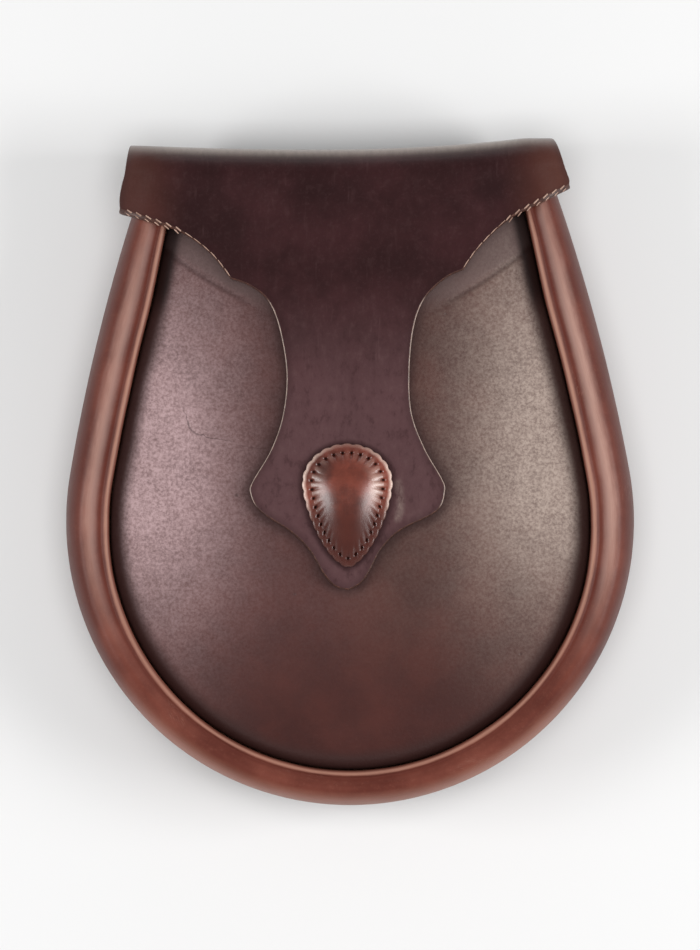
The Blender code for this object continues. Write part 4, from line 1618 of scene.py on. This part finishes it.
@dataclass
class Flap:
    """One leather piece: a leaf on the back, the fold over the top, the front and its tongue."""

    pattern: Pattern
    pad_line: Floats
    wall: float = 0.0024
    half_width: float = 0.067
    seat_z: float = 0.041
    tongue_z: float = 0.0422
    leaf_z: float = 0.0051
    leaf_end_rise: float = 0.078
    leaf_half_width: float = 0.04683
    leaf_seam: float = 0.0038
    fold_radius: float = 0.009
    lift_left: float = 0.0019
    lift_right: float = 0.0029
    lift_reach_left: float = 0.95
    lift_reach_right: float = 0.80
    taper_front_left: float = 0.105
    taper_front_right: float = 0.22
    taper_back: float = 0.66
    curl_drop: float = 0.004
    curl_width: float = 0.010
    lobe_droop: float = 0.0009
    lobe_start: float = 1.1
    teardrop_half_width: float = 0.0133
    seat_end: float = 0.070
    lay: float = 0.035
    edge_reach: float = 0.0005
    hem_reach: float = 0.0015
    tip_half: float = 0.0003
    # painted highlight on the cut edge: on edges that face sideways, down to the foot of the lobe
    edge_highlight: Ramp = Ramp(0.42, 0.22)
    highlight_ends: str = "foot of the lobe"
    uneven: tuple[Wave, ...] = (Wave(0.045, 0.00018, 21), Wave(0.014, 0.00004, 22))
    free: Ramp = Ramp(0.001, 0.006)
    # how far the painted reflection along the fold reaches from its top
    fold_sheen_fade: Ramp = Ramp(0.0, 0.0044)
    ends_out: Ramp = Ramp(0.045, 0.020)
    ends_up: Ramp = Ramp(0.080, 0.012)
    left_end_tone: float = 0.7
    tongue_from: Ramp = Ramp(0.075, -0.045)
    settle_rows: int = 46
    columns: int = 81
    side_steps: int = 7
    hem_steps: int = 10
    tongue_steps: int = 9
    # line of a painted glint on the tongue, right of the teardrop
    glint: Places = ((14.4, -3.4), (15.2, -8.5), (14.2, -13.6))

    def face_z(self, x: Floats, rise: Floats) -> Floats:
        """Height of the outer face over the front: seated on the rim, then down on the panel.

        Args:
            x: places across.
            rise: heights above the bowl's middle.

        Returns:
            The heights.
        """
        pattern = self.pattern
        across = np.abs(x - pattern.flap_axis_x)
        half_width = pattern.half_width(np.maximum(0.0, rise))
        to_shoulder = half_width - pattern.rim_width_side - pattern.seam_gap - pattern.shoulder_radius
        fall = pattern.panel_crown * (across**2 + np.minimum(0.0, rise) ** 2) / to_shoulder**2
        lobe = smooth_step((across - self.lobe_start * self.teardrop_half_width) / self.teardrop_half_width)
        on_panel = self.tongue_z - fall - self.lobe_droop * lobe
        lay = smooth_step((self.seat_end - rise) / self.lay)
        crest = pattern.half_width(rise) - pattern.rim_crest_share * pattern.rim_width_side
        curled = np.maximum(0.0, np.abs(x) - crest) / self.curl_width
        return self.seat_z + (on_panel - self.seat_z) * lay - self.curl_drop * curled**2

    def start_rise(self, x: Floats) -> Floats:
        """Rise at which the front turns into the fold.

        Args:
            x: places across.

        Returns:
            The rises.
        """
        share = (x - self.pattern.flap_axis_x) / self.half_width
        lift = np.where(share > 0, self.lift_right, self.lift_left)
        reach = np.where(share > 0, self.lift_reach_right, self.lift_reach_left)
        top = self.pattern.fold_rise + lift * np.minimum(1.0, np.abs(share) / reach) ** 2
        return top - self.fold_radius

    def _front_edges(self) -> tuple[Floats, Floats]:
        """Left and right cut edge over the front, as places (x, rise) from the fold to the tip.

        Returns:
            Both edges.
        """
        pattern = self.pattern
        corner = HEM_ROWS[0].numbers()
        start = SIDE_SHARES[0][1] * self.half_width
        sides = []
        for down, width in SIDE_SHARES:
            row = []
            for sign, across, corner_down in ((-1, corner[0], corner[1]), (1, corner[2], corner[3])):
                top = float(self.start_rise(np.array(pattern.flap_axis_x + sign * start)))
                low = pattern.fold_rise - corner_down * pattern.flap_length
                share = (pattern.fold_rise - top - down * (low - top)) / pattern.flap_length
                row += [width * across if down else width, share]
            sides.append(row)
        stretches = (
            (np.array(sides), self.side_steps),
            (np.array([row.numbers() for row in HEM_ROWS]), self.hem_steps),
            (np.array([row.numbers() for row in TONGUE_ROWS]), self.tongue_steps),
        )
        rows = np.concatenate([eased_through(stretch, steps) for stretch, steps in stretches])
        rise = pattern.fold_rise - rows[:, 1::2] * pattern.flap_length
        left = np.stack([pattern.flap_axis_x - rows[:, 0] * self.half_width, rise[:, 0]], 1)
        right = np.stack([pattern.flap_axis_x + rows[:, 2] * self.half_width, rise[:, 1]], 1)
        return left, right

    @property
    def corner_row(self) -> int:
        """Row at which the flap's side turns into its hem."""
        return self.side_steps * (len(SIDE_SHARES) - 1)

    @property
    def cusp_row(self) -> int:
        """Row at which the hem turns into the tongue's edge."""
        return self.corner_row + self.hem_steps * (len(HEM_ROWS) - 1)

    def _reaches(self, count: int) -> Floats:
        """How far the rounded edge reaches at each row: its thickness shows where it bends over the rim.

        Args:
            count: how many.

        Returns:
            The reach at each row.
        """
        row = np.arange(count)
        fall = smooth_step((row - self.corner_row) / (2.6 * self.hem_steps))
        hem = self.hem_reach + (self.edge_reach - self.hem_reach) * fall
        return np.where(row < self.corner_row, self.edge_reach, hem)

    @staticmethod
    def _inward(edge: Floats, side: int) -> Floats:
        """Inward normals of a cut edge. Side is -1 for the left edge and 1 for the right."""
        run = unit(np.gradient(edge, axis=0))
        return np.stack([run[:, 1], -run[:, 0]], axis=1) * side

    def _drawn_in(self, edge: Floats, side: int, by: Floats) -> Floats:
        """Cut edge drawn in square to itself, with a clean corner where the hem starts.

        Args:
            edge: places of the edge.
            side: -1 for the left, 1 for the right.
            by: distance for each row.

        Returns:
            The new edge.
        """
        corner = self.corner_row
        upper, lower = edge[: corner + 1], edge[corner:]
        up_in, low_in = self._inward(upper, side), self._inward(lower, side)
        upper = upper + up_in * by[0]
        lower = lower + low_in * by[corner:, None]
        both = np.stack([up_in[-1], low_in[0]])
        meet = edge[corner] + np.linalg.solve(both, np.array([by[0], by[corner]]))
        up_fade = np.clip(1 - np.arange(len(upper))[::-1] / 14, 0, 1)[:, None]
        low_fade = np.clip(1 - np.arange(len(lower)) / 6, 0, 1)[:, None]
        upper = upper + (meet - upper[-1]) * up_fade
        lower = lower + (meet - lower[0]) * low_fade
        return np.concatenate([upper[:-1], lower])

    def _front(self, further: float = 0.0) -> tuple[Floats, Floats]:
        """Left and right edge over the front, drawn in by the rounded edge's reach and further.

        Args:
            further: distance added.

        Returns:
            Both edges.
        """
        left, right = self._front_edges()
        by = self._reaches(len(left)) + further
        left, right = self._drawn_in(left, -1, by), self._drawn_in(right, 1, by)
        left[:, 0] = np.minimum(left[:, 0], self.pattern.flap_axis_x - self.tip_half)
        right[:, 0] = np.maximum(right[:, 0], self.pattern.flap_axis_x + self.tip_half)
        return left, right

    def _lit(self) -> Floats:
        """Share from 0 to 1 of the painted highlight on the edge of each row, left and right.

        Returns:
            The shares, a row each.
        """
        shares = []
        for side, edge in zip((-1, 1), self._front_edges()):
            down = self._inward(edge, side)[:, 1]
            shares.append(1 - self.edge_highlight.at(down))
        lit = np.stack(shares, axis=1)
        lit[: self.cusp_row] = 0.0
        foot = [row.place for row in TONGUE_ROWS].index(self.highlight_ends)
        lit[self.cusp_row + self.tongue_steps * foot :] = 0.0
        return lit

    def _across(self) -> Floats:
        """Columns from -1 at the left edge to 1 at the right, closer together near the edges."""
        t = np.linspace(-1, 1, self.columns)
        return 0.72 * t + 0.28 * np.sin(math.pi / 2 * t)

    def _spread(self, left: Floats, right: Floats) -> tuple[Floats, Floats]:
        """Places across the flap between two edges.

        Args:
            left: left edge.
            right: right edge.

        Returns:
            Places across, and rises.
        """
        axis = self.pattern.flap_axis_x
        column = self._across()
        side = np.where(column < 0, axis - left[:, :1], right[:, :1] - axis)
        x = axis + column * side
        rise = left[:, 1:] + (right[:, 1:] - left[:, 1:]) * (column + 1) / 2
        return x, rise

    def _fold_x(self, tapers: Floats) -> Floats:
        """Places across the fold. Tapers are the shares towards the leaf, left and right.

        Args:
            tapers: shares of each row.

        Returns:
            The places, a row each.
        """
        axis = self.pattern.flap_axis_x
        column = self._across()
        front = axis + column * (SIDE_SHARES[0][1] * self.half_width - self.edge_reach)
        leaf = column * (self.leaf_half_width - self.edge_reach)
        taper = np.where(column < 0, tapers[:, :1], tapers[:, 1:])
        return front + taper * (leaf - front)

    def _back_rows(self) -> tuple[Floats, Floats, Floats]:
        """Places (x, rise, z) from the end of the leaf over the fold to where the front starts.

        Returns:
            x, rise and z of each row.
        """
        radius = self.fold_radius
        fronts = np.array([[self.taper_front_left, self.taper_front_right]])
        rows: list[tuple[Floats, Floats, Floats]] = []
        leaf_x = self._fold_x(np.array([[1.0, 1.0]]))[0]
        leaf_start = self.start_rise(leaf_x)
        for share in np.linspace(0, 1, 18)[:-1]:
            end = self.leaf_end_rise + self.edge_reach
            rows.append((leaf_x, end + share * (leaf_start - end), np.full_like(leaf_x, self.leaf_z)))
        for share in np.linspace(0, 1, 13)[:-1]:
            taper = 1 - share * (1 - self.taper_back)
            x = self._fold_x(np.array([[taper, taper]]))[0]
            turn = math.pi * (1 - share / 2)
            z = np.full_like(x, self.leaf_z + radius * (1 + math.cos(turn)))
            rows.append((x, self.start_rise(x) + radius * math.sin(turn), z))
        for share in np.linspace(0, 1, 13)[:-1]:
            x = self._fold_x(self.taper_back + (fronts - self.taper_back) * share)[0]
            start = self.start_rise(x)
            low, high = self.leaf_z + radius, self.face_z(x, start) - radius
            rows.append((x, start + radius, low + share * (high - low)))
        for share in np.linspace(0, 1, 15)[:-1]:
            x = self._fold_x(fronts * (1 - share))[0]
            turn = math.pi / 2 * (1 - share)
            start = self.start_rise(x)
            z = self.face_z(x, start) - radius * (1 - math.cos(turn))
            rows.append((x, start + radius * math.sin(turn), z))
        return tuple(np.array(part) for part in zip(*rows))

    def outline(self) -> Floats:
        """Cut edge of the front in the plane, from the left end of the fold to the right."""
        left, right = self._front_edges()
        return np.concatenate([left, right[::-1]]) + np.array([0, self.pattern.bowl_y])

    def build(self, bench: Workbench) -> None:
        """Makes the flap and the stitches along its edge.

        Args:
            bench: takes the finished pieces.
        """
        pattern = self.pattern
        back_x, back_rise, back_z = self._back_rows()
        x, rise = self._spread(*self._front())
        settle = 1 - smooth_step(np.arange(len(x)) / self.settle_rows)
        rise = rise + settle[:, None] * (self.start_rise(x[0]) - rise[0])
        z = self.face_z(x, rise)
        fronts, backs = len(x), len(back_x)
        pairs = (back_x, x), (back_rise, rise), (back_z, z)
        x, rise, z = (np.concatenate(pair) for pair in pairs)
        grid = np.stack([x, rise + pattern.bowl_y, z], axis=-1)
        on_front = np.arange(len(grid))[:, None] >= backs
        edge = np.abs(distance_to_line(grid, self.outline()))
        from_sides = np.minimum(np.abs(x - x[:, :1]), np.abs(x - x[:, -1:])) + self.edge_reach
        edge = np.where(on_front, edge, from_sides)
        uneven = sum(wave.over(grid) for wave in self.uneven)
        free = self.free.at(edge) * on_front
        grid = grid + grid_normals(grid) * (uneven * free)[..., None]
        from_top = self.start_rise(x) + self.fold_radius - rise
        crown = z - self.face_z(x, self.start_rise(x)) + self.fold_radius
        upper = smooth_step(1 + crown / (0.28 * self.fold_radius))
        end = self.ends_out.at(np.abs(x - pattern.flap_axis_x))
        end = end * np.where(x > 0, 1.0, self.left_end_tone) * self.ends_up.at(rise)
        lit = np.zeros(x.shape)
        half = self.columns // 2
        edges_lit = self._lit()
        lit[backs:, :half], lit[backs:, half:] = edges_lit[:, :1], edges_lit[:, 1:]
        lit[-1] = 0.0
        marks = {
            "edge_mm": edge / MM,
            # fold: painted reflection on top of the fold; bend: where the real wax coat lies
            "fold": (1 - self.fold_sheen_fade.at(from_top)) ** 2.4 * upper,
            "bend": (1 - smooth_step(from_top / (0.8 * self.fold_radius))) * upper,
            "end": end,
            "tongue": self.tongue_from.at(rise),
            # lit: painted highlight on the cut edge
            "lit": lit,
            # distance to the teardrop for the painted shadow round it, then to the line of the painted glint
            "pad_mm": np.abs(distance_to_line(grid, self.pad_line)) / MM,
            "glint_mm": np.abs(distance_to_line(grid, np.array(self.glint) * MM)) / MM,
        }
        reach = np.full(x.shape, self.edge_reach)
        reach[backs:] = self._reaches(fronts)[:, None]
        cut = Cut(grid, self.wall, reach, marks=marks)
        mesh = cut.mesh("flap_leather_piece")
        bench.add("flap_leather_piece", mesh, (FLAP_LEATHER, FLAP_EDGE, FLESH), "flap_leather", ["flap"])
        self._stitches(bench)

    def _edge_line(self, side: int, further: float, drop: float) -> tuple[Floats, Floats]:
        """Points and normals of the outer face along one cut edge.

        Args:
            side: -1 for the left edge, 1 for the right.
            further: how far inward of the rounded edge's start the line runs.
            drop: how far the line lies below the face.

        Returns:
            Points and normals, one for each row.
        """
        edge = self._front(further)[0 if side < 0 else 1]
        step = 0.0002
        x, rise = edge[:, 0], edge[:, 1]
        z = self.face_z(x, rise) - drop
        slope_x = (self.face_z(x + step, rise) - self.face_z(x - step, rise)) / (2 * step)
        slope_y = (self.face_z(x, rise + step) - self.face_z(x, rise - step)) / (2 * step)
        normals = unit(np.stack([-slope_x, -slope_y, np.ones_like(x)], axis=1))
        return np.stack([x, rise + self.pattern.bowl_y, z], axis=1), normals

    def _stitches(self, bench: Workbench) -> None:
        """Whipped stitches over the hem: bold ones where it crosses the rim, fine ones beyond.

        Args:
            bench: takes the finished pieces.
        """
        bold = StitchRow(length=0.0023, radius=0.00022, proud=0.00010, slant=0.00030)
        low = StitchRow(length=0.0020, radius=0.00019, proud=0.00010, slant=0.00035)
        fine = StitchRow(pitch=0.0032, length=0.0031, radius=0.00013, proud=0.00004, slant=0.00006)
        over_rim = slice(self.corner_row + 1, self.corner_row + 2 * self.hem_steps + 2)
        over_panel = slice(self.corner_row + 2 * self.hem_steps, self.cusp_row)
        rows = (
            ("hem_stitches", bold, over_rim, 0.0, 0.0),
            ("hem_edge_stitches", low, over_rim, -0.0009, 0.00035),
            ("hem_fine_stitches", fine, over_panel, -0.0001, 0.0),
        )
        for side, name in ((-1, "left"), (1, "right")):
            for title, row, part, further, drop in rows:
                line, normals = self._edge_line(side, further, drop)
                mesh = row.mesh(f"{title}_{name}", line[part], normals[part], lean=side)
                bench.add(f"{title}_{name}", mesh, (PALE_THREAD,), "flap_leather")
        self._leaf_stitches(bench)

    def _leaf_stitches(self, bench: Workbench) -> None:
        """Stitches that hold the leaf on the back, up one side, along its end and up the other.

        Args:
            bench: takes the finished pieces.
        """
        leaf_x = self._fold_x(np.array([[1.0, 1.0]]))[0]
        left, right = leaf_x.min() + self.leaf_seam, leaf_x.max() - self.leaf_seam
        low, high = self.leaf_end_rise + self.leaf_seam, self.pattern.mouth_rise - self.leaf_seam
        corners = np.array([(left, high), (left, low), (right, low), (right, high)])
        run = lengths_along(corners)
        at = np.linspace(0, run[-1], 500)
        x, rise = np.interp(at, run, corners[:, 0]), np.interp(at, run, corners[:, 1])
        line = np.stack([x, rise + self.pattern.bowl_y, np.full_like(x, self.leaf_z)], axis=1)
        mesh = BACK_ROW.mesh("leaf_stitches", line, facing_back(len(line)))
        bench.add("leaf_stitches", mesh, (DARK_THREAD,), "flap_leather")


@dataclass
class Teardrop:
    """Padded teardrop sewn on the tongue, puckered by its stitches.

    border_mm holds the inset and height of the border's rings, from under its edge to the dome.
    """

    pattern: Pattern
    foot_z: float = 0.0425
    rise: float = 0.01134
    half_width: float = 0.0133
    top: float = 0.0117
    point: float = 0.0249
    shoulder: float = 1.5
    taper: float = 0.62
    stitches: int = 31
    stitch_inset: float = 0.0026
    per_stitch: int = 12
    dome: float = 0.0040
    harmonics: int = 15
    pucker: float = 0.00013
    pucker_reach: float = 0.0026
    pucker_fade: Ramp = Ramp(0.0008, 0.0030)
    border_pucker: float = 0.00008
    border_pucker_reach: float = 0.0013
    scallop: float = 0.00016
    scallop_reach: float = 0.0012
    hole_depth: float = 0.00070
    hole_radius: float = 0.00042
    hole_share: float = 0.34
    on_top: Ramp = Ramp(0.0, 0.0008)
    darker_point: Ramp = Ramp(-0.004, -0.008)
    # the painted highlights fade towards the point
    fainter_highlight_at_point: Ramp = Ramp(-0.004, -0.010)
    border_mm: Places = (
        (0.60, 0.00), (0.20, 0.00), (0.00, 0.30), (-0.04, 0.60), (0.00, 0.86), (0.14, 1.06),
        (0.34, 1.18), (0.60, 1.24), (0.90, 1.26), (1.25, 1.24), (1.60, 1.19), (1.90, 1.12),
        (2.15, 1.06), (2.38, 1.02), (2.60, 1.00),
    )

    def _outline(self, angle: Floats) -> Floats:
        """Points of the outline about the middle, at some angles.

        Args:
            angle: angles, in radians.

        Returns:
            The points.
        """
        x, y = self.half_width * np.cos(angle), self.top * np.sin(angle)
        down = np.abs(np.sin(angle))
        narrow = (1 - np.minimum(down, 1) ** self.shoulder) ** self.taper
        lower = y < 0
        x = np.where(lower, np.sign(x) * self.half_width * narrow, x)
        y = np.where(lower, -self.point * down, y)
        return np.stack([x, y], axis=-1)

    def _even_angles(self, count: int) -> Floats:
        """Angles evenly spaced along the line of stitches, from the point round.

        Args:
            count: how many.

        Returns:
            The angles.
        """
        angle = np.linspace(-math.pi / 2, 1.5 * math.pi, 6001)
        points = self._outline(angle)
        length = np.linalg.norm(points, axis=1, keepdims=True)
        line = points * (1 - self.stitch_inset / length)
        run = lengths_along(line)
        return np.interp(np.arange(count) / count * run[-1], run, angle)

    def _taut(self, outline: Floats, points: Floats) -> Floats:
        """Height over the line of stitches of leather drawn taut over an even stuffing.

        Such leather curves alike everywhere, so its height is a bowl plus smooth waves that
        bring it to nothing along the stitches.

        Args:
            outline: points of the outline about the middle.
            points: where the height is wanted, shaped (round, inward, 2).

        Returns:
            Height as a share of the highest, one for each point.
        """
        radius = np.linalg.norm(outline, axis=1, keepdims=True)
        line = outline * (1 - self.stitch_inset / radius)
        power = np.arange(self.harmonics)

        def terms(spots: Floats) -> tuple[Floats, Floats]:
            """Waves and the bowl at some spots.

            Args:
                spots: places in the plane.

            Returns:
                Waves, and bowl.
            """
            turned = (spots[..., 0] + 1j * spots[..., 1])[..., None] / self.point
            waves_there = turned**power
            both = np.concatenate([waves_there.real, waves_there.imag[..., 1:]], axis=-1)
            return both, -(spots[..., 0] ** 2 + spots[..., 1] ** 2) / self.point**2

        along, bowl = terms(line)
        shares = np.linalg.lstsq(along, -bowl, rcond=1e-9)[0]
        inner, inner_bowl = terms(points)
        height = inner @ shares + inner_bowl
        return np.maximum(height / height.max(), 0)

    def build(self, bench: Workbench) -> None:
        """Makes the teardrop with its puckers and needle holes.

        Args:
            bench: takes the finished pieces.
        """
        count = self.stitches * self.per_stitch
        outline = self._outline(self._even_angles(count))
        radius = np.linalg.norm(outline, axis=1)
        ray = outline / radius[:, None]
        inset, height = np.array(self.border_mm).T * MM
        last, last_z = inset[-1], height[-1]
        share = np.linspace(0, 1, 37)[1:-1] ** 1.35
        inset = np.concatenate([np.tile(inset, (count, 1)), last + share * (radius[:, None] - last)], axis=1)
        inside = outline[:, None] - ray[:, None] * inset[:, -len(share):, None]
        dome = last_z + self.dome * self._taut(outline, inside)
        height = np.concatenate([np.tile(height, (count, 1)), dome], axis=1)
        phase = 2 * math.pi * np.arange(count) / self.per_stitch
        draw = np.random.default_rng(5)
        strength = draw.uniform(0.55, 1.45, self.stitches)
        closed = np.append(strength, strength[0])
        smooth = np.interp(np.arange(count) / self.per_stitch, np.arange(self.stitches + 1), closed)
        smooth = smooth * np.where(outline[:, 0] > 0, 1.25, 0.95)
        ridge = -np.cos(phase + 0.5 * np.sin(phase + draw.uniform(0, 6)))
        beyond = inset - self.stitch_inset
        reach = self.pucker_reach * (0.7 + 0.6 * smooth[:, None])
        inner = np.exp(-np.maximum(beyond, 0) / reach) * self.pucker
        outer = np.exp(-np.maximum(-beyond, 0) / self.border_pucker_reach) * self.border_pucker
        near = 1 - self.pucker_fade.at(beyond)
        ripple = ridge[:, None] * np.where(beyond > 0, inner * near, outer) * smooth[:, None]
        hole = bell(beyond, self.hole_radius) * bell(1 - np.cos(phase), self.hole_share)[:, None]
        height = height + ripple * self.on_top.at(height) - hole * self.hole_depth
        scallop = self.scallop * ridge[:, None] * np.exp(-np.maximum(inset, 0) / self.scallop_reach)
        flat = outline[:, None] - ray[:, None] * (inset - scallop)[..., None]
        x = flat[..., 0] + self.pattern.flap_axis_x
        y = flat[..., 1] + self.rise + self.pattern.bowl_y
        points = np.stack([x, y, self.foot_z + np.maximum(height, 0)], axis=-1)
        low = self.darker_point.at(flat[..., 1])
        # painted highlights: strongest at the left and right, brighter on the right
        beside = np.abs(ray[:, :1]) ** 2 * (1 - 0.6 * self.fainter_highlight_at_point.at(outline[:, 1:]))
        side = np.broadcast_to(0.15 + 0.85 * beside, low.shape)
        flank_sheen = beside * np.where(ray[:, :1] > 0, 1.0, 0.25) * bell(outline[:, 1:] + 0.0030, 0.0085)
        marks = {
            "hole": hole,
            "ridge": ripple / self.pucker,
            "inward_mm": inset / MM,
            "low": low,
            "side": side,
            "flank_sheen": np.broadcast_to(flank_sheen, low.shape),
        }
        mesh = self._closed(points, marks)
        piece = bench.add("padded_teardrop", mesh, (TEARDROP_LEATHER,), "teardrop_leather", ["teardrop"])

    def rim_line(self) -> Floats:
        """Closed outline of the teardrop in the plane.

        Returns:
            The outline, its first point repeated.
        """
        line = self._outline(self._even_angles(240))
        middle = [self.pattern.flap_axis_x, self.rise + self.pattern.bowl_y]
        return np.append(line, line[:1], axis=0) + middle

    def _closed(self, points: Floats, marks: dict[str, Floats]) -> bpy.types.Mesh:
        """Closed mesh from rings of points, shaped (round, inward, 3), with both ends filled.

        Args:
            points: points, added to.
            marks: marks of each point.

        Returns:
            The mesh.
        """
        count, rings = points.shape[:2]
        middle = points[:, -1].mean(axis=0) + np.array([0, 0, 0.00004])
        number = np.arange(count * rings).reshape(count, rings)
        after = np.roll(number, -1, axis=0)
        a, b, c, d = number[:, :-1], after[:, :-1], after[:, 1:], number[:, 1:]
        faces = np.stack([n.ravel() for n in (a, b, c, d)], axis=1).tolist()
        peak = count * rings
        faces += [(int(i), int(j), peak) for i, j in zip(number[:, -1], after[:, -1])]
        faces.append(number[::-1, 0].tolist())
        made = bpy.data.meshes.new("padded_teardrop")
        made.from_pydata(points.reshape(-1, 3).tolist() + [middle.tolist()], [], faces)
        for name, values in marks.items():
            flat = np.append(values.reshape(-1), values[:, -1].mean())
            made.attributes.new(name, "FLOAT", "POINT").data.foreach_set("value", flat)
        return made


@dataclass
class PressStud:
    """Press stud between the tongue and the front panel.

    profile holds shares of its radius and of its height, from the foot to the middle of the top.
    """

    pattern: Pattern
    foot_z: float = 0.0383
    height: float = 0.0012
    radius: float = 0.0055
    rise: float = 0.01134
    profile: Places = (
        (0.90, 0.00), (0.98, 0.06), (1.00, 0.20), (0.98, 0.36), (0.88, 0.42), (0.80, 0.46),
        (0.80, 0.54), (0.88, 0.58), (0.98, 0.64), (1.00, 0.80), (0.98, 0.94), (0.90, 1.00),
        (0.55, 1.00), (0.50, 0.90), (0.20, 0.88),
    )

    def build(self, bench: Workbench) -> None:
        """Turns the stud's two halves as one round piece.

        Args:
            bench: takes the finished pieces.
        """
        shares = np.array(self.profile)
        turn = np.linspace(0, 2 * math.pi, 64, endpoint=False)
        around = np.stack([np.cos(turn), np.sin(turn)], axis=1)
        ring = around[:, None] * (shares[:, 0] * self.radius)[None, :, None]
        x = ring[..., 0] + self.pattern.flap_axis_x
        y = ring[..., 1] + self.rise + self.pattern.bowl_y
        z = np.broadcast_to(self.foot_z + shares[:, 1] * self.height, x.shape)
        points = np.stack([x, y, z], axis=-1)
        number = np.arange(points.shape[0] * points.shape[1]).reshape(points.shape[:2])
        after = np.roll(number, -1, axis=0)
        corners = number[:, :-1], after[:, :-1], after[:, 1:], number[:, 1:]
        quads = np.stack([n.ravel() for n in corners], axis=1)
        made = bpy.data.meshes.new("press_stud_metal")
        faces = quads.tolist() + [number[::-1, 0].tolist(), number[:, -1].tolist()]
        made.from_pydata(points.reshape(-1, 3).tolist(), [], faces)
        bench.add("press_stud_metal", made, (AntiqueBrass(),), "stud_metal", ["press_stud"])


@dataclass(frozen=True)
class Softbox:
    """Soft studio light, aimed at the pouch. A flagged one leaves no reflection."""

    name: str
    place: tuple[float, float, float]
    size: tuple[float, float]
    watts: float
    flagged: bool = False


@dataclass
class Studio:
    """Pale floor, soft lights and the camera straight above."""

    floor_half: float = 3.0
    camera_distance: float = 3.0
    plane_z: float = 0.022
    view_height: float = 0.2843
    aim: tuple[float, float] = (0.0001, -0.0006)
    roll: float = math.radians(-0.5)
    sky: float = 0.22
    lights: tuple[Softbox, ...] = (
        Softbox("left_softbox", (-0.98, -0.06, 0.72), (0.50, 0.46), 6.2),
        Softbox("right_softbox", (0.98, -0.08, 0.72), (0.56, 0.56), 8.4),
        Softbox("foot_softbox", (0.0, -1.30, 0.55), (1.0, 0.30), 1.4),
        Softbox("head_softbox", (0.0, 1.30, 0.40), (1.0, 0.30), 1.4),
        Softbox("overhead_softbox", (0.0, 0.0, 1.8), (0.9, 0.9), 15.5, flagged=True),
    )

    def build(self) -> None:
        """Sets the stage, the lights and the camera."""
        self._floor()
        for light in self.lights:
            self._light(light)
        self._camera()
        world = bpy.data.worlds.new("pale_room")
        world.use_nodes = True
        back = world.node_tree.nodes["Background"]
        back.inputs["Color"].default_value = (1.0, 1.0, 1.0, 1.0)
        back.inputs["Strength"].default_value = self.sky
        bpy.context.scene.world = world
        bpy.context.scene.view_settings.view_transform = "Standard"

    def _floor(self) -> None:
        """Plain pale floor."""
        half = self.floor_half
        mesh = bpy.data.meshes.new("floor")
        corners = [(-half, -half, 0), (half, -half, 0), (half, half, 0), (-half, half, 0)]
        mesh.from_pydata(corners, [], [(0, 1, 2, 3)])
        mesh.materials.append(Paper().build())
        floor = bpy.data.objects.new("floor", mesh)
        floor.location.z = -0.0002
        bpy.context.scene.collection.objects.link(floor)

    def _light(self, box: Softbox) -> None:
        """One softbox.

        Args:
            box: its place, size and power.
        """
        data = bpy.data.lights.new(box.name, "AREA")
        data.shape = "RECTANGLE"
        data.size, data.size_y = box.size
        data.energy = box.watts
        light = bpy.data.objects.new(box.name, data)
        light.location = box.place
        towards = Vector((0, 0, 0.02)) - Vector(box.place)
        light.rotation_euler = towards.to_track_quat("-Z", "Y").to_euler()
        light.visible_glossy = not box.flagged
        bpy.context.scene.collection.objects.link(light)

    def _camera(self) -> None:
        """Camera straight above, turned a little with the pouch."""
        data = bpy.data.cameras.new("camera")
        data.sensor_fit = "AUTO"
        data.sensor_width = 36.0
        data.lens = 36.0 * self.camera_distance / self.view_height
        data.clip_end = 20.0
        camera = bpy.data.objects.new("camera", data)
        turn = Matrix.Rotation(self.roll, 4, "Z")
        camera.matrix_world = Matrix.Translation((*self.aim, self.plane_z + self.camera_distance)) @ turn
        bpy.context.scene.collection.objects.link(camera)
        bpy.context.scene.camera = camera


def main() -> None:
    """Builds the sporran's pieces in order, then the studio."""
    logging.basicConfig(level=logging.INFO, format="%(name)s: %(message)s")
    pattern = Pattern()
    bench = Workbench()
    RolledRim(pattern).build(bench)
    teardrop = Teardrop(pattern)
    flap = Flap(pattern, teardrop.rim_line())
    FrontPanel(pattern, flap.outline()).build(bench)
    BackPanel(pattern).build(bench)
    StrapLoop("strap_loop_left", -0.030, pattern).build(bench)
    StrapLoop("strap_loop_right", 0.030, pattern).build(bench)
    PressStud(pattern).build(bench)
    flap.build(bench)
    teardrop.build(bench)
    Studio().build()


if __name__ == "__main__":
    main()
